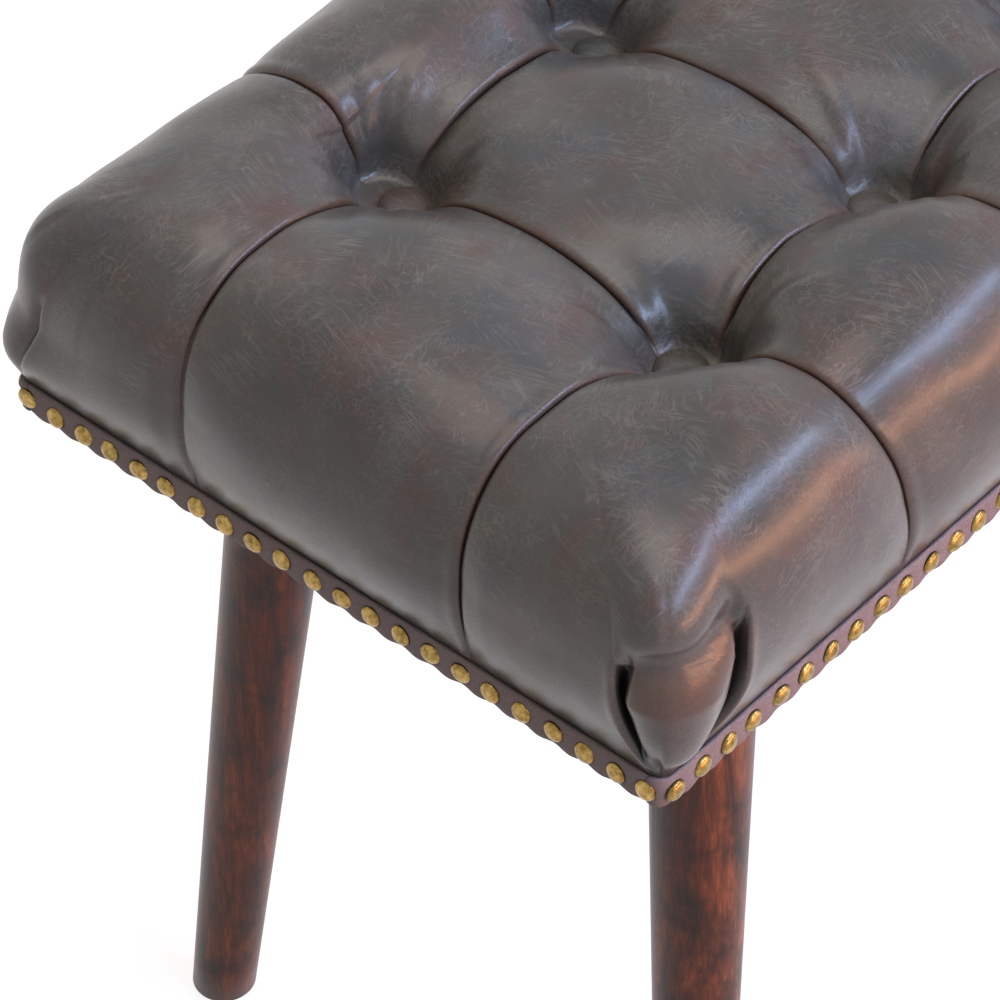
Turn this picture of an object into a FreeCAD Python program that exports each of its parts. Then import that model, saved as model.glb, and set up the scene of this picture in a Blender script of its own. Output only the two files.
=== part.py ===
"""Deep-buttoned leather bench on four splayed, turned legs.

Millimetres. +X runs along the bench, the front faces -Y and +Z is up. The origin is on the
floor, under the middle of the seat.
"""
import FreeCAD, Part
import math
import os
import re

import Sketcher
from FreeCAD import Placement, Rotation, Vector

doc = FreeCAD.newDocument("buttoned_bench")

# Driving sizes

SIZES = {
    "seat_length": 916, "seat_width": 365, "nail_line_height": 435, "corner_radius": 8,
    "rail_thickness": 22, "rail_height": 38, "deck_thickness": 9,
    "foam_thickness": 44, "foam_inset": 14, "foam_corner": 12, "foam_hole_radius": 25,
    "hide_thickness": 1.4, "hide_turn_under": 18, "lining_thickness": 0.8, "lining_inset": 5,
    "band_height": 17, "band_thickness": 1.6, "band_drop": 2.5,
    "side_bulge": 12, "bulge_rise": 60, "pleat_draw_in": 6, "crown_rise": 125, "middle_drop": 12,
    "pleat_depth": 8, "button_depth": 53, "end_fall": 5, "end_pleat_depth": 7, "end_pleat_width": 18,
    "side_spare": 2, "side_corner": 16, "shoulder_reach": 52,
    "tongue_on_side": 44, "tongue_on_end": 22, "tongue_height": 72, "fold_depth": 8, "fold_width": 7,
    "button_columns": 6, "column_pitch": 128, "row_pitch": 154,
    "button_radius": 12, "button_height": 7, "pit_slack": 1.5, "pit_mouth": 30, "pit_height": 26,
    "twine_radius": 1.2, "twine_hole_radius": 3, "washer_radius": 9, "washer_thickness": 2,
    "nail_head_radius": 4.9, "nail_head_height": 2.6, "nail_pitch": 16.7, "nail_from_corner": 8,
    "leg_top_radius": 25.5, "leg_foot_radius": 15.5, "leg_from_end": 108, "leg_from_side": 67,
    "leg_splay_along": 40, "leg_splay_across": 32, "leg_edge": 1.5, "leg_hole_slack": 3,
    "block_length": 116, "block_width": 88, "block_cut": 34, "block_height": 24, "block_drop": 2,
    "bolt_radius": 4, "bolt_in_leg": 42, "bolt_in_block": 22, "bolt_slack": 0.5,
    "nut_radius": 5.2, "nut_length": 14, "nut_flange_radius": 12, "nut_flange": 1.6,
    "dowel_radius": 4, "dowel_length": 40, "dowel_spacing": 18,
    "screw_radius": 2.2, "screw_head_radius": 4.4, "screw_head_height": 3, "screw_point": 6,
    "block_screw_length": 45, "block_screw_spacing": 10, "block_screw_from_rail": 36, "deck_screw_length": 32,
    "deck_screw_columns": 4, "deck_screw_from_end": 90,
    "glide_radius": 11, "glide_height": 3, "glide_pin_radius": 1.2, "glide_pin_length": 14,
    "staple_width": 11, "staple_wire": 1.2, "staple_pitch": 105, "staple_from_side": 13,
}
sheet = doc.addObject("Spreadsheet::Sheet", "Sizes")
for row, (alias, number) in enumerate(SIZES.items(), start=1):
    sheet.set(f"A{row}", alias)
    sheet.set(f"B{row}", str(number))
    sheet.setAlias(f"B{row}", alias)
doc.recompute()


def bind(formula):
    """Puts the sheet's name before each size that a formula names."""
    return re.sub("[a-z_]+", lambda word: "Sizes." * (word[0] in SIZES) + word[0], formula)


def size(formula):
    """The value of a formula of sizes, read from the sheet."""
    value = sheet.evalExpression(bind(formula))
    return float(getattr(value, "Value", value))


# Levels, faces and places that several pieces share, as formulas of the driving sizes

BAND_BOTTOM = "(nail_line_height - band_height / 2)"
BAND_TOP = "(nail_line_height + band_height / 2)"
RAIL_BOTTOM = f"({BAND_BOTTOM} + band_drop)"
RAIL_TOP = f"({RAIL_BOTTOM} + rail_height)"
DECK_TOP = f"({RAIL_TOP} + deck_thickness)"
FOAM_TOP = f"({DECK_TOP} + foam_thickness)"
HIDE_BOTTOM = f"({RAIL_BOTTOM} - hide_thickness)"
BLOCK_TOP = f"({RAIL_TOP} - block_drop)"
BLOCK_BOTTOM = f"({BLOCK_TOP} - block_height)"
BUTTON_SEAT = "(nail_line_height + crown_rise - button_depth)"
FRAME_INSET = "(band_thickness + hide_thickness)"
RAIL_INNER = f"({FRAME_INSET} + rail_thickness)"
FRAME_LENGTH = f"(seat_length - 2 * {FRAME_INSET})"
FRAME_WIDTH = f"(seat_width - 2 * {FRAME_INSET})"
END_RAIL_LENGTH = f"(seat_width - 2 * {RAIL_INNER})"

CORNERS = {"front_left": (-1, -1), "front_right": (1, -1), "back_left": (-1, 1), "back_right": (1, 1)}
HALF_LENGTH = size("seat_length / 2")
HALF_WIDTH = size("seat_width / 2")
BUTTON_COLUMNS = [
    (column - (size("button_columns") - 1) / 2) * size("column_pitch")
    for column in range(int(size("button_columns")))
]
BUTTON_SPOTS = [(x, side * size("row_pitch / 2")) for x in BUTTON_COLUMNS for side in (-1, 1)]
SMALL_SIDES = 6
ROUND_SIDES = 10
LEG_SIDES = 24
DOME_REACH = 0.64
DOME_RISE = 0.68
parts = []


def keep(item, label):
    """Names a finished sub-part and lists it for writing."""
    item.Label = label
    parts.append(item)
    return item


def feature(name, shape):
    """An object whose shape is made by Part's own functions."""
    item = doc.addObject("Part::Feature", name)
    item.Shape = shape
    return item


def cut(base, *tools):
    """Cuts objects out of another, one boolean after the other."""
    for tool in tools:
        step = doc.addObject("Part::Cut", f"{base.Name}_less_{tool.Name}")
        step.Base = base
        step.Tool = tool
        base = step
    return base


def plan_plane(body):
    """The body's own level plane."""
    return next(item for item in body.Origin.OriginFeatures if item.Role == "XY_Plane")


def outline_sketch(body, points):
    """A closed outline of straight lines in plan. Each corner is a pair of formulas."""
    sketch = body.newObject("Sketcher::SketchObject", f"{body.Name}_outline")
    sketch.AttachmentSupport = [(plan_plane(body), "")]
    sketch.MapMode = "FlatFace"
    spots = [Vector(size(x), size(y), 0) for x, y in points]
    for number, spot in enumerate(spots):
        sketch.addGeometry(Part.LineSegment(spot, spots[(number + 1) % len(spots)]), False)
    for number in range(len(spots)):
        sketch.addConstraint(Sketcher.Constraint("Coincident", number, 2, (number + 1) % len(spots), 1))
    for number, (x, y) in enumerate(points):
        for kind, formula, value in (("DistanceX", x, spots[number].x), ("DistanceY", y, spots[number].y)):
            index = sketch.addConstraint(Sketcher.Constraint(kind, -1, 1, number, 1, value))
            sketch.setExpression(f"Constraints[{index}]", bind(formula))
    return sketch


def padded(name, points, bottom, height):
    """A body padded upwards from an outline at the level of its bottom."""
    body = doc.addObject("PartDesign::Body", name)
    pad = body.newObject("PartDesign::Pad", f"{name}_pad")
    pad.Profile = outline_sketch(body, points)
    pad.setExpression("Length", bind(height))
    body.setExpression(".Placement.Base.z", bind(bottom))
    doc.recompute()
    return body


def box_outline(x_low, x_high, y_low, y_high):
    """The four corner formulas of a rectangle."""
    return [(x_low, y_low), (x_high, y_low), (x_high, y_high), (x_low, y_high)]


def round_upright_edges(body, corners, radius):
    """Rounds the upright edges of a body that stand at the given corners in plan."""
    base = body.Tip
    names = []
    for number, edge in enumerate(base.Shape.Edges, start=1):
        start, end = edge.Vertexes[0].Point, edge.Vertexes[-1].Point
        upright = abs(start.x - end.x) < 0.01 and abs(start.y - end.y) < 0.01
        if upright and any(math.dist((start.x, start.y), corner) < 0.01 for corner in corners):
            names.append(f"Edge{number}")
    fillet = body.newObject("PartDesign::Fillet", f"{body.Name}_rounding")
    fillet.Base = (base, names)
    fillet.setExpression("Radius", bind(radius))
    doc.recompute()


def ring(radius, centre, sides):
    """The corners of a level ring with flat sides."""
    turns = [2 * math.pi * (number + 0.5) / sides for number in range(sides)]
    return [Vector(*centre) + Vector(math.cos(turn), math.sin(turn), 0) * radius for turn in turns]


def skinned(radii, rings):
    """A closed solid from flat faces between rings, each with its own radius."""
    faces = []
    for number, low in enumerate(rings):
        after = (number + 1) % len(rings)
        high = rings[after]
        if radii[number] == radii[after] == 0:
            continue
        if low[0].z == high[0].z and 0 in (radii[number], radii[after]):
            rim = low if radii[number] else high
            faces.append(Part.Face(Part.makePolygon(rim + rim[:1])))
            continue
        for side in range(len(low)):
            turn = (side + 1) % len(low)
            if radii[number] == 0:
                corners = [low[side], high[turn], high[side]]
            elif radii[after] == 0:
                corners = [low[side], low[turn], high[side]]
            else:
                corners = [low[side], low[turn], high[turn], high[side]]
            faces.append(Part.Face(Part.makePolygon(corners + corners[:1])))
    return Part.makeSolid(Part.makeShell(faces))


def turned(profile, sides):
    """A solid about the Z axis through (radius, height) points, with flat sides to keep it light."""
    return skinned([r for r, _ in profile], [ring(r, (0, 0, z), sides) for r, z in profile])


def rod(radius, length):
    """A plain rod up the Z axis."""
    return turned([(0, 0), (radius, 0), (radius, length), (0, length)], SMALL_SIDES)


def aimed(shape, start, direction):
    """A copy of a turned shape with its foot at start and its axis along direction."""
    copy = shape.copy()
    copy.Placement = Placement(Vector(*start), Rotation(Vector(0, 0, 1), Vector(*direction)))
    return copy


def countersunk_screw(length):
    """A screw whose flat head is at the origin and whose point is up the Z axis."""
    shank = size("screw_radius")
    return turned([
        (0, 0), (size("screw_head_radius"), 0), (shank, size("screw_head_height")),
        (shank, length - size("screw_point")), (0, length),
    ], SMALL_SIDES)


def plan_outline(grow, radius, level):
    """The seat's outline in plan at a level, moved outwards by grow, with round corners."""
    half_x = HALF_LENGTH + grow - radius
    half_y = HALF_WIDTH + grow - radius
    arcs = []
    for x, y, start in ((1, -1, -90), (1, 1, 0), (-1, 1, 90), (-1, -1, 180)):
        centre = Vector(x * half_x, y * half_y, level)
        rim = [
            centre + Vector(math.cos(turn), math.sin(turn), 0) * radius
            for turn in (math.radians(start + step) for step in (0, 45, 90))
        ]
        arcs.append(rim)
    edges = []
    for number, rim in enumerate(arcs):
        edges.append(Part.Arc(*rim).toShape())
        edges.append(Part.makeLine(rim[2], arcs[(number + 1) % 4][0]))
    return Part.Wire(edges)


def plan_prism(grow, radius, bottom, top):
    """A prism over the seat's outline in plan."""
    return Part.Face(plan_outline(grow, radius, bottom)).extrude(Vector(0, 0, top - bottom))


# Hardwood rails: two long ones, two end ones between them and a cross rail at mid length


def long_rail(name, side):
    """A long rail. Its two outer ends are rounded as the seat's corners are."""
    outer = f"{FRAME_WIDTH} / 2"
    inner = f"({FRAME_WIDTH} / 2 - rail_thickness)"
    near, far = (f"-{outer}", f"-{inner}") if side < 0 else (inner, outer)
    outline = box_outline(f"-{FRAME_LENGTH} / 2", f"{FRAME_LENGTH} / 2", near, far)
    body = padded(name, outline, RAIL_BOTTOM, "rail_height")
    half = size(f"{FRAME_LENGTH} / 2")
    corners = [(end * half, side * size(outer)) for end in (-1, 1)]
    round_upright_edges(body, corners, f"corner_radius - {FRAME_INSET}")
    return body


def end_rail(name, end):
    """An end rail, butted between the two long ones."""
    outer = f"{FRAME_LENGTH} / 2"
    inner = f"({FRAME_LENGTH} / 2 - rail_thickness)"
    near, far = (f"-{outer}", f"-{inner}") if end < 0 else (inner, outer)
    outline = box_outline(near, far, f"-{END_RAIL_LENGTH} / 2", f"{END_RAIL_LENGTH} / 2")
    return padded(name, outline, RAIL_BOTTOM, "rail_height")


front_rail = long_rail("front_rail_blank", -1)
back_rail = long_rail("back_rail_blank", 1)
left_rail = end_rail("left_end_rail_blank", -1)
right_rail = end_rail("right_end_rail_blank", 1)
cross_outline = box_outline(
    "-rail_thickness / 2", "rail_thickness / 2", f"-{END_RAIL_LENGTH} / 2", f"{END_RAIL_LENGTH} / 2"
)
cross_rail = padded("cross_rail_blank", cross_outline, RAIL_BOTTOM, "rail_height")

# Dowels: two at each end of every end and cross rail, half in each rail

dowel_end_x = size(f"{FRAME_LENGTH} / 2 - rail_thickness / 2")
dowel = rod(size("dowel_radius"), size("dowel_length"))
dowel_shapes = [
    aimed(dowel, (x, side * size(f"{END_RAIL_LENGTH} / 2 - dowel_length / 2"), z), (0, side, 0))
    for x in (-dowel_end_x, 0, dowel_end_x)
    for side in (-1, 1)
    for z in (
        size(f"{RAIL_BOTTOM} + (rail_height - dowel_spacing) / 2"),
        size(f"{RAIL_BOTTOM} + (rail_height + dowel_spacing) / 2"),
    )
]
rail_dowels = keep(feature("rail_dowels", Part.makeCompound(dowel_shapes)), "rail_dowels")

# Corner blocks: glued and screwed into the frame's corners, they take the legs


def corner_block(name, end, side):
    """A block in a corner of the frame, with its inner corner cut off."""
    x_outer = f"{end} * (seat_length / 2 - {RAIL_INNER})"
    y_outer = f"{side} * (seat_width / 2 - {RAIL_INNER})"
    x_inner = f"({x_outer} - {end} * block_length)"
    y_inner = f"({y_outer} - {side} * block_width)"
    outline = [
        (x_outer, y_outer), (x_inner, y_outer), (x_inner, f"{y_inner} + {side} * block_cut"),
        (f"{x_inner} + {end} * block_cut", y_inner), (x_outer, y_inner),
    ]
    return padded(name, outline, BLOCK_BOTTOM, "block_height")


blocks = {name: corner_block(f"{name}_block_blank", *corner) for name, corner in CORNERS.items()}

# Block screws: through the rails into the glued blocks, one each way at every corner

block_screw = countersunk_screw(size("block_screw_length"))
screw_level = size(f"{BLOCK_BOTTOM} + block_height / 2")
screw_rise = size("block_screw_spacing / 2")
screw_shapes = []
for end, side in CORNERS.values():
    frame_x = end * size(f"{FRAME_LENGTH} / 2")
    frame_y = side * size(f"{FRAME_WIDTH} / 2")
    x = end * size(f"seat_length / 2 - {RAIL_INNER} - block_screw_from_rail")
    y = side * size(f"seat_width / 2 - {RAIL_INNER} - block_screw_from_rail")
    screw_shapes.append(aimed(block_screw, (frame_x, y, screw_level + screw_rise), (-end, 0, 0)))
    screw_shapes.append(aimed(block_screw, (x, frame_y, screw_level - screw_rise), (0, -side, 0)))
block_screws = keep(feature("block_screws", Part.makeCompound(screw_shapes)), "block_screws")

# Deck screws: down through the deck into the long rails

deck_screw = countersunk_screw(size("deck_screw_length"))
deck_screw_span = size("seat_length - 2 * deck_screw_from_end")
deck_screw_count = int(size("deck_screw_columns"))
deck_screw_shapes = [
    aimed(
        deck_screw,
        (
            deck_screw_span * (column / (deck_screw_count - 1) - 0.5),
            side * size(f"{FRAME_WIDTH} / 2 - rail_thickness / 2"),
            size(DECK_TOP),
        ),
        (0, 0, -1),
    )
    for column in range(deck_screw_count)
    for side in (-1, 1)
]
deck_screws = keep(feature("deck_screws", Part.makeCompound(deck_screw_shapes)), "deck_screws")

keep(cut(front_rail, rail_dowels, block_screws, deck_screws), "front_rail")
keep(cut(back_rail, rail_dowels, block_screws, deck_screws), "back_rail")
keep(cut(left_rail, rail_dowels, block_screws), "left_end_rail")
keep(cut(right_rail, rail_dowels, block_screws), "right_end_rail")
keep(cut(cross_rail, rail_dowels), "cross_rail")

# Hanger bolts and T-nuts: each leg screws up into its block

leg_tops = {
    name: Vector(
        end * size("seat_length / 2 - leg_from_end"),
        side * size("seat_width / 2 - leg_from_side"),
        size(BLOCK_BOTTOM),
    )
    for name, (end, side) in CORNERS.items()
}
leg_feet = {
    name: Vector(
        leg_tops[name].x + end * size("leg_splay_along"),
        leg_tops[name].y + side * size("leg_splay_across"),
        size("glide_height"),
    )
    for name, (end, side) in CORNERS.items()
}
bolt = rod(size("bolt_radius"), size("bolt_in_leg + bolt_in_block"))
nut_top, nut_radius = size(f"{BLOCK_TOP} + nut_flange"), size("nut_radius")
t_nut = turned([
    (size("bolt_radius"), size(f"{BLOCK_TOP} - nut_length")), (nut_radius, size(f"{BLOCK_TOP} - nut_length")),
    (nut_radius, size(BLOCK_TOP)), (size("nut_flange_radius"), size(BLOCK_TOP)),
    (size("nut_flange_radius"), nut_top), (size("bolt_radius"), nut_top),
], SMALL_SIDES)
block_bore = turned([
    (0, size(BLOCK_BOTTOM)), (size("bolt_radius + bolt_slack"), size(BLOCK_BOTTOM)),
    (size("bolt_radius + bolt_slack"), size(f"{BLOCK_TOP} - nut_length")),
    (nut_radius, size(f"{BLOCK_TOP} - nut_length")), (nut_radius, size(BLOCK_TOP)), (0, size(BLOCK_TOP)),
], SMALL_SIDES)
bolt_shapes, nut_shapes, bore_shapes = [], [], []
for top in leg_tops.values():
    bolt_shapes.append(aimed(bolt, (top.x, top.y, top.z - size("bolt_in_leg")), (0, 0, 1)))
    nut_shapes.append(aimed(t_nut, (top.x, top.y, 0), (0, 0, 1)))
    bore_shapes.append(aimed(block_bore, (top.x, top.y, 0), (0, 0, 1)))
hanger_bolts = keep(feature("hanger_bolts", Part.makeCompound(bolt_shapes)), "hanger_bolts")
keep(feature("t_nuts", Part.makeCompound(nut_shapes)), "t_nuts")
block_bores = feature("block_bores", Part.makeCompound(bore_shapes))
for name, block in blocks.items():
    keep(cut(block, block_screws, block_bores), f"{name}_block")

# Nail-on glides under the feet

glide_radius, glide_height = size("glide_radius"), size("glide_height")
glide_edge = glide_height / 3
glide = turned([
    (0, 0), (glide_radius - glide_edge, 0), (glide_radius, glide_edge), (glide_radius, glide_height),
    (size("glide_pin_radius"), glide_height), (size("glide_pin_radius"), size("glide_pin_length")),
    (0, size("glide_pin_length + glide_pin_radius")),
], ROUND_SIDES)
glide_shapes = [aimed(glide, (foot.x, foot.y, 0), (0, 0, 1)) for foot in leg_feet.values()]
foot_glides = keep(feature("foot_glides", Part.makeCompound(glide_shapes)), "foot_glides")

# Legs: turned with a straight taper, leaning outwards, cut level at the block and at the floor

LEG_DROP = f"({BLOCK_BOTTOM} - glide_height)"


def leg(name, foot, top):
    """One round leg with an eased foot. Its rings lie level, so that it stands flat while it leans."""
    edge = size("leg_edge")
    eased = foot + (top - foot) * (edge / (top.z - foot.z))
    stations = [
        (0, foot), (size("leg_foot_radius") - edge, foot), (size("leg_foot_radius"), eased),
        (size("leg_top_radius"), top), (0, top),
    ]
    shape = skinned([radius for radius, _ in stations], [ring(*station, LEG_SIDES) for station in stations])
    return cut(feature(name, shape), hanger_bolts, foot_glides)


for name in CORNERS:
    keep(leg(f"{name}_leg_turning", leg_feet[name], leg_tops[name]), f"{name}_leg")

# Seat deck: plywood screwed to the rails, with a hole for each button's twine

deck_blank = padded(
    "seat_deck_blank",
    box_outline(f"-{FRAME_LENGTH} / 2", f"{FRAME_LENGTH} / 2", f"-{FRAME_WIDTH} / 2", f"{FRAME_WIDTH} / 2"),
    RAIL_TOP, "deck_thickness",
)
deck_corners = [
    (end * size(f"{FRAME_LENGTH} / 2"), side * size(f"{FRAME_WIDTH} / 2")) for end, side in CORNERS.values()
]
round_upright_edges(deck_blank, deck_corners, f"corner_radius - {FRAME_INSET}")
hole = rod(size("twine_hole_radius"), size("deck_thickness"))
hole_shapes = [aimed(hole, (x, y, size(RAIL_TOP)), (0, 0, 1)) for x, y in BUTTON_SPOTS]
twine_holes = feature("twine_holes", Part.makeCompound(hole_shapes))
keep(cut(deck_blank, twine_holes, deck_screws), "seat_deck")

# Foam pad: a slab with a hole punched under each button

foam_grow = -size(f"{FRAME_INSET} + foam_inset")
foam_shape = plan_prism(foam_grow, size("foam_corner"), size(DECK_TOP), size(FOAM_TOP))
foam_hole = rod(size("foam_hole_radius"), size("foam_thickness"))
foam_shape = foam_shape.cut([aimed(foam_hole, (x, y, size(DECK_TOP)), (0, 0, 1)) for x, y in BUTTON_SPOTS])
foam_pad = keep(feature("foam_pad", foam_shape), "foam_pad")

# Buttons, their twines and the washers that the twines are tied to under the deck

BUTTON_EDGE = 1
BUTTON_RIM_SHARE = 1 / 3
button_radius, button_height, button_seat = size("button_radius"), size("button_height"), size(BUTTON_SEAT)
button_rim = button_height * BUTTON_RIM_SHARE
button = turned([
    (0, 0), (button_radius - BUTTON_EDGE, 0), (button_radius, button_rim),
    (button_radius * DOME_REACH, button_rim + (button_height - button_rim) * DOME_RISE), (0, button_height),
], ROUND_SIDES)
washer = rod(size("washer_radius"), size("washer_thickness"))
washer_level = size(f"{RAIL_TOP} - washer_thickness")
twine = rod(size("twine_radius"), button_seat - size(RAIL_TOP))
button_shapes, twine_shapes, washer_shapes = [], [], []
for x, y in BUTTON_SPOTS:
    button_shapes.append(aimed(button, (x, y, button_seat), (0, 0, 1)))
    twine_shapes.append(aimed(twine, (x, y, size(RAIL_TOP)), (0, 0, 1)))
    washer_shapes.append(aimed(washer, (x, y, washer_level), (0, 0, 1)))
keep(feature("covered_buttons", Part.makeCompound(button_shapes)), "covered_buttons")
button_twines = keep(feature("button_twines", Part.makeCompound(twine_shapes)), "button_twines")
keep(feature("twine_washers", Part.makeCompound(washer_shapes)), "twine_washers")

# Leather cover over its wadding: crowned panels between pleats, drawn in at the sides

form_base = size(BAND_TOP)
widest_level = size("nail_line_height + bulge_rise")
crown_level = size("nail_line_height + crown_rise")
pleat_level = size("nail_line_height + crown_rise - pleat_depth")
middle_drop = size("middle_drop")
row_y = size("row_pitch / 2")

# Straight steps in a section's arcs: the flank, the shoulder's rounding, its fall to the button
# row and the stretch between the rows
FLANK_STEPS, ROUNDING_STEPS, FALL_STEPS, MIDDLE_STEPS = 2, 5, 3, 6


def tangent_arc(start, end, centre_y, steps):
    """Points on an arc about a centre that is level with its start, in a plane across the bench."""
    centre = Vector(start.x, centre_y, start.z)
    radius = abs(start.y - centre_y)
    middle = (start - centre).normalize() + (end - centre).normalize()
    return Part.Arc(start, centre + middle.normalize() * radius, end).discretize(steps + 1)


def half_section(x, side, bulge, shoulder, valley):
    """One half of the section across the bench, from the band over the shoulder to the button row."""
    base_y = HALF_WIDTH - size("band_thickness")
    wide_y = HALF_WIDTH + bulge
    swell, rise = wide_y - base_y, widest_level - form_base
    side_radius = (swell ** 2 + rise ** 2) / (2 * swell)
    round_radius = shoulder - widest_level
    base = Vector(x, side * base_y, form_base)
    wide = Vector(x, side * wide_y, widest_level)
    top = Vector(x, side * (wide_y - round_radius), shoulder)
    dip = Vector(x, side * row_y, valley)
    run, fall = abs(top.y - dip.y), shoulder - valley
    flat_radius = (run ** 2 + fall ** 2) / (2 * fall)
    half_fall = flat_radius - math.sqrt(flat_radius ** 2 - (run / 2) ** 2)
    between = Vector(x, side * (abs(top.y) - run / 2), shoulder - half_fall)
    flank = tangent_arc(wide, base, side * (wide_y - side_radius), FLANK_STEPS)[::-1]
    rounding = tangent_arc(wide, top, side * (wide_y - round_radius), ROUNDING_STEPS)
    return flank + rounding[1:] + Part.Arc(top, between, dip).discretize(FALL_STEPS + 1)[1:]


def cross_section(x, bulge, shoulder, valley, middle):
    """The seat's section across the bench. Its arcs are in short straight steps, to keep it light."""
    back, front = (half_section(x, side, bulge, shoulder, valley) for side in (1, -1))
    between_rows = Part.Arc(back[-1], Vector(x, 0, middle), front[-1]).discretize(MIDDLE_STEPS + 1)
    outline = back + between_rows[1:-1] + front[::-1]
    return Part.makePolygon(outline + outline[:1])


# What a section takes: its outward bulge, its shoulder's level, its dip's level at the button
# rows and its level in the middle. PLEAT runs through the buttons, CROWN between two pleats and
# END past the end of the seat. The middle lies a little lower than the shoulders.
end_level = crown_level - size("end_fall")
PLEAT = (size("side_bulge - pleat_draw_in"), pleat_level, button_seat, pleat_level - middle_drop)
CROWN = (size("side_bulge"), crown_level, pleat_level - middle_drop, crown_level - middle_drop)
END = (size("side_bulge"), end_level, end_level - size("end_fall"), end_level)


def mixed_section(x, low, high, share):
    """A section between two others, given as the four values that a section takes."""
    return cross_section(x, *(a + (b - a) * share for a, b in zip(low, high)))


# Sections from a pleat to the crown
PANEL_STEPS = 3


def panel(low_x, high_x, low, middle, high):
    """One row of panels: it rises from one pleat to its crown and falls to the next."""
    wires = []
    for step in range(2 * PANEL_STEPS + 1):
        across = step / PANEL_STEPS - 1
        edge = low if across < 0 else high
        x = (low_x + high_x) / 2 + across * (high_x - low_x) / 2
        wires.append(mixed_section(x, middle, edge, across ** 2))
    return Part.makeLoft(wires, True, True)


end_x = HALF_LENGTH + size("side_bulge + 3 * side_spare")
panels = [
    panel(low, high, PLEAT, CROWN, PLEAT) for low, high in zip(BUTTON_COLUMNS[:-1], BUTTON_COLUMNS[1:])
]
panels.append(panel(-end_x, BUTTON_COLUMNS[0], END, CROWN, PLEAT))
panels.append(panel(BUTTON_COLUMNS[-1], end_x, PLEAT, CROWN, END))
tufted = panels[0].fuse(panels[1:])


# The side form rounds the seat's ends and corners: a stack of level rings, outward step by step.
# At the band its corners have this share of the radius that they have where the seat is widest
SIDE_STEPS = 4
SHOULDER_STEPS = 8
BAND_CORNER_SHARE = 0.3
side_reach = size("side_bulge + side_spare")
corner_grow = size("corner_radius + side_corner")
side_profile, side_corners = [], []
for step in range(SIDE_STEPS):
    share = step / SIDE_STEPS
    outward = side_reach * (1 - (1 - share) ** 2) - size("side_spare") / 4
    side_profile.append((outward, form_base + (widest_level - form_base) * share))
    side_corners.append(corner_grow * (BAND_CORNER_SHARE + (1 - BAND_CORNER_SHARE) * share))
for step in range(SHOULDER_STEPS):
    turn = math.radians(90 * step / SHOULDER_STEPS)
    outward = side_reach - size("shoulder_reach") * (1 - math.cos(turn))
    level = widest_level + (crown_level + size("side_spare") * 3 - widest_level) * math.sin(turn)
    side_profile.append((outward, level))
    side_corners.append(corner_grow + size("shoulder_reach") * (1 - math.cos(turn)) / 2)
side_wires = [
    plan_outline(outward, corner, level) for (outward, level), corner in zip(side_profile, side_corners)
]
side_form = Part.makeLoft(side_wires, True, True)
cushion = tufted.common(side_form)


def end_pleat(end, y):
    """The wedge that a pleat draws into the end of the seat, from the shoulder to the band."""
    half_width = size("end_pleat_width / 2")
    mouth_x = end * (HALF_LENGTH + 2 * size("side_bulge"))
    wires = []
    for step, (outward, level) in enumerate(side_profile):
        depth = size("end_pleat_depth") * min(1, step / SIDE_STEPS)
        apex = Vector(end * (HALF_LENGTH + outward - depth), y, level)
        corners = [apex, Vector(mouth_x, y + half_width, level), Vector(mouth_x, y - half_width, level)]
        wires.append(Part.makePolygon(corners + corners[:1]))
    return Part.makeLoft(wires, True, True)


# A fold has bent fully away from the corner at this share of the tongue's height. It is shallow at
# both ends and deepest between, as half a sine wave is that starts a little way in.
FOLD_BENT_BY = 0.5
FOLD_START, FOLD_RUN = 0.09, 0.81


def corner_fold(end, side, on_end):
    """One edge of a corner's tongue: it leaves the corner at the band, bends away and runs up."""
    half_width = size("fold_width / 2")
    reach = size("tongue_on_end" if on_end else "tongue_on_side")
    along = Vector(0, -side, 0) if on_end else Vector(-end, 0, 0)
    out = Vector(end, 0, 0) if on_end else Vector(0, side, 0)
    wires = []
    for outward, level in side_profile:
        risen = (level - form_base) / size("tongue_height")
        if risen > 1:
            break
        from_corner = reach * (1 - (1 - min(1, risen / FOLD_BENT_BY)) ** 2)
        depth = size("fold_depth") * math.sin(math.pi * (FOLD_START + FOLD_RUN * risen))
        corner = Vector(end * (HALF_LENGTH + outward), side * (HALF_WIDTH + outward), level)
        spot = corner + along * from_corner
        mouth = spot + out * (2 * size("side_bulge"))
        corners = [spot - out * depth, mouth + along * half_width, mouth - along * half_width]
        wires.append(Part.makePolygon(corners + corners[:1]))
    return Part.makeLoft(wires, True, True)


pit_mouth, pit_height = size("pit_mouth"), size("pit_height")
button_pit = turned([
    (0, 0), (button_radius + size("pit_slack"), 0), (pit_mouth, pit_height), (0, pit_height),
], ROUND_SIDES)
pit_shapes = [aimed(button_pit, (x, y, button_seat), (0, 0, 1)) for x, y in BUTTON_SPOTS]
wedge_shapes = [end_pleat(end, y) for end in (-1, 1) for y in (-row_y, row_y)]
fold_shapes = [corner_fold(*corner, on_end) for corner in CORNERS.values() for on_end in (True, False)]
cushion = cushion.cut(pit_shapes + wedge_shapes + fold_shapes)

skirt_grow = -size("band_thickness")
skirt_corner = size("corner_radius - band_thickness")
frame_grow = -size(FRAME_INSET)
frame_corner = size(f"corner_radius - {FRAME_INSET}")
skirt = plan_prism(skirt_grow, skirt_corner, size(HIDE_BOTTOM), form_base)
opening_grow = skirt_grow - size("hide_turn_under")
opening = plan_prism(opening_grow, skirt_corner, size(HIDE_BOTTOM), size(RAIL_BOTTOM))
frame_space = plan_prism(frame_grow, frame_corner, size(RAIL_BOTTOM), size(DECK_TOP))
cover_shape = cushion.fuse(skirt).cut([opening, frame_space, foam_shape] + twine_shapes)
keep(feature("leather_cover", cover_shape.removeSplitter()), "leather_cover")

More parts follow.
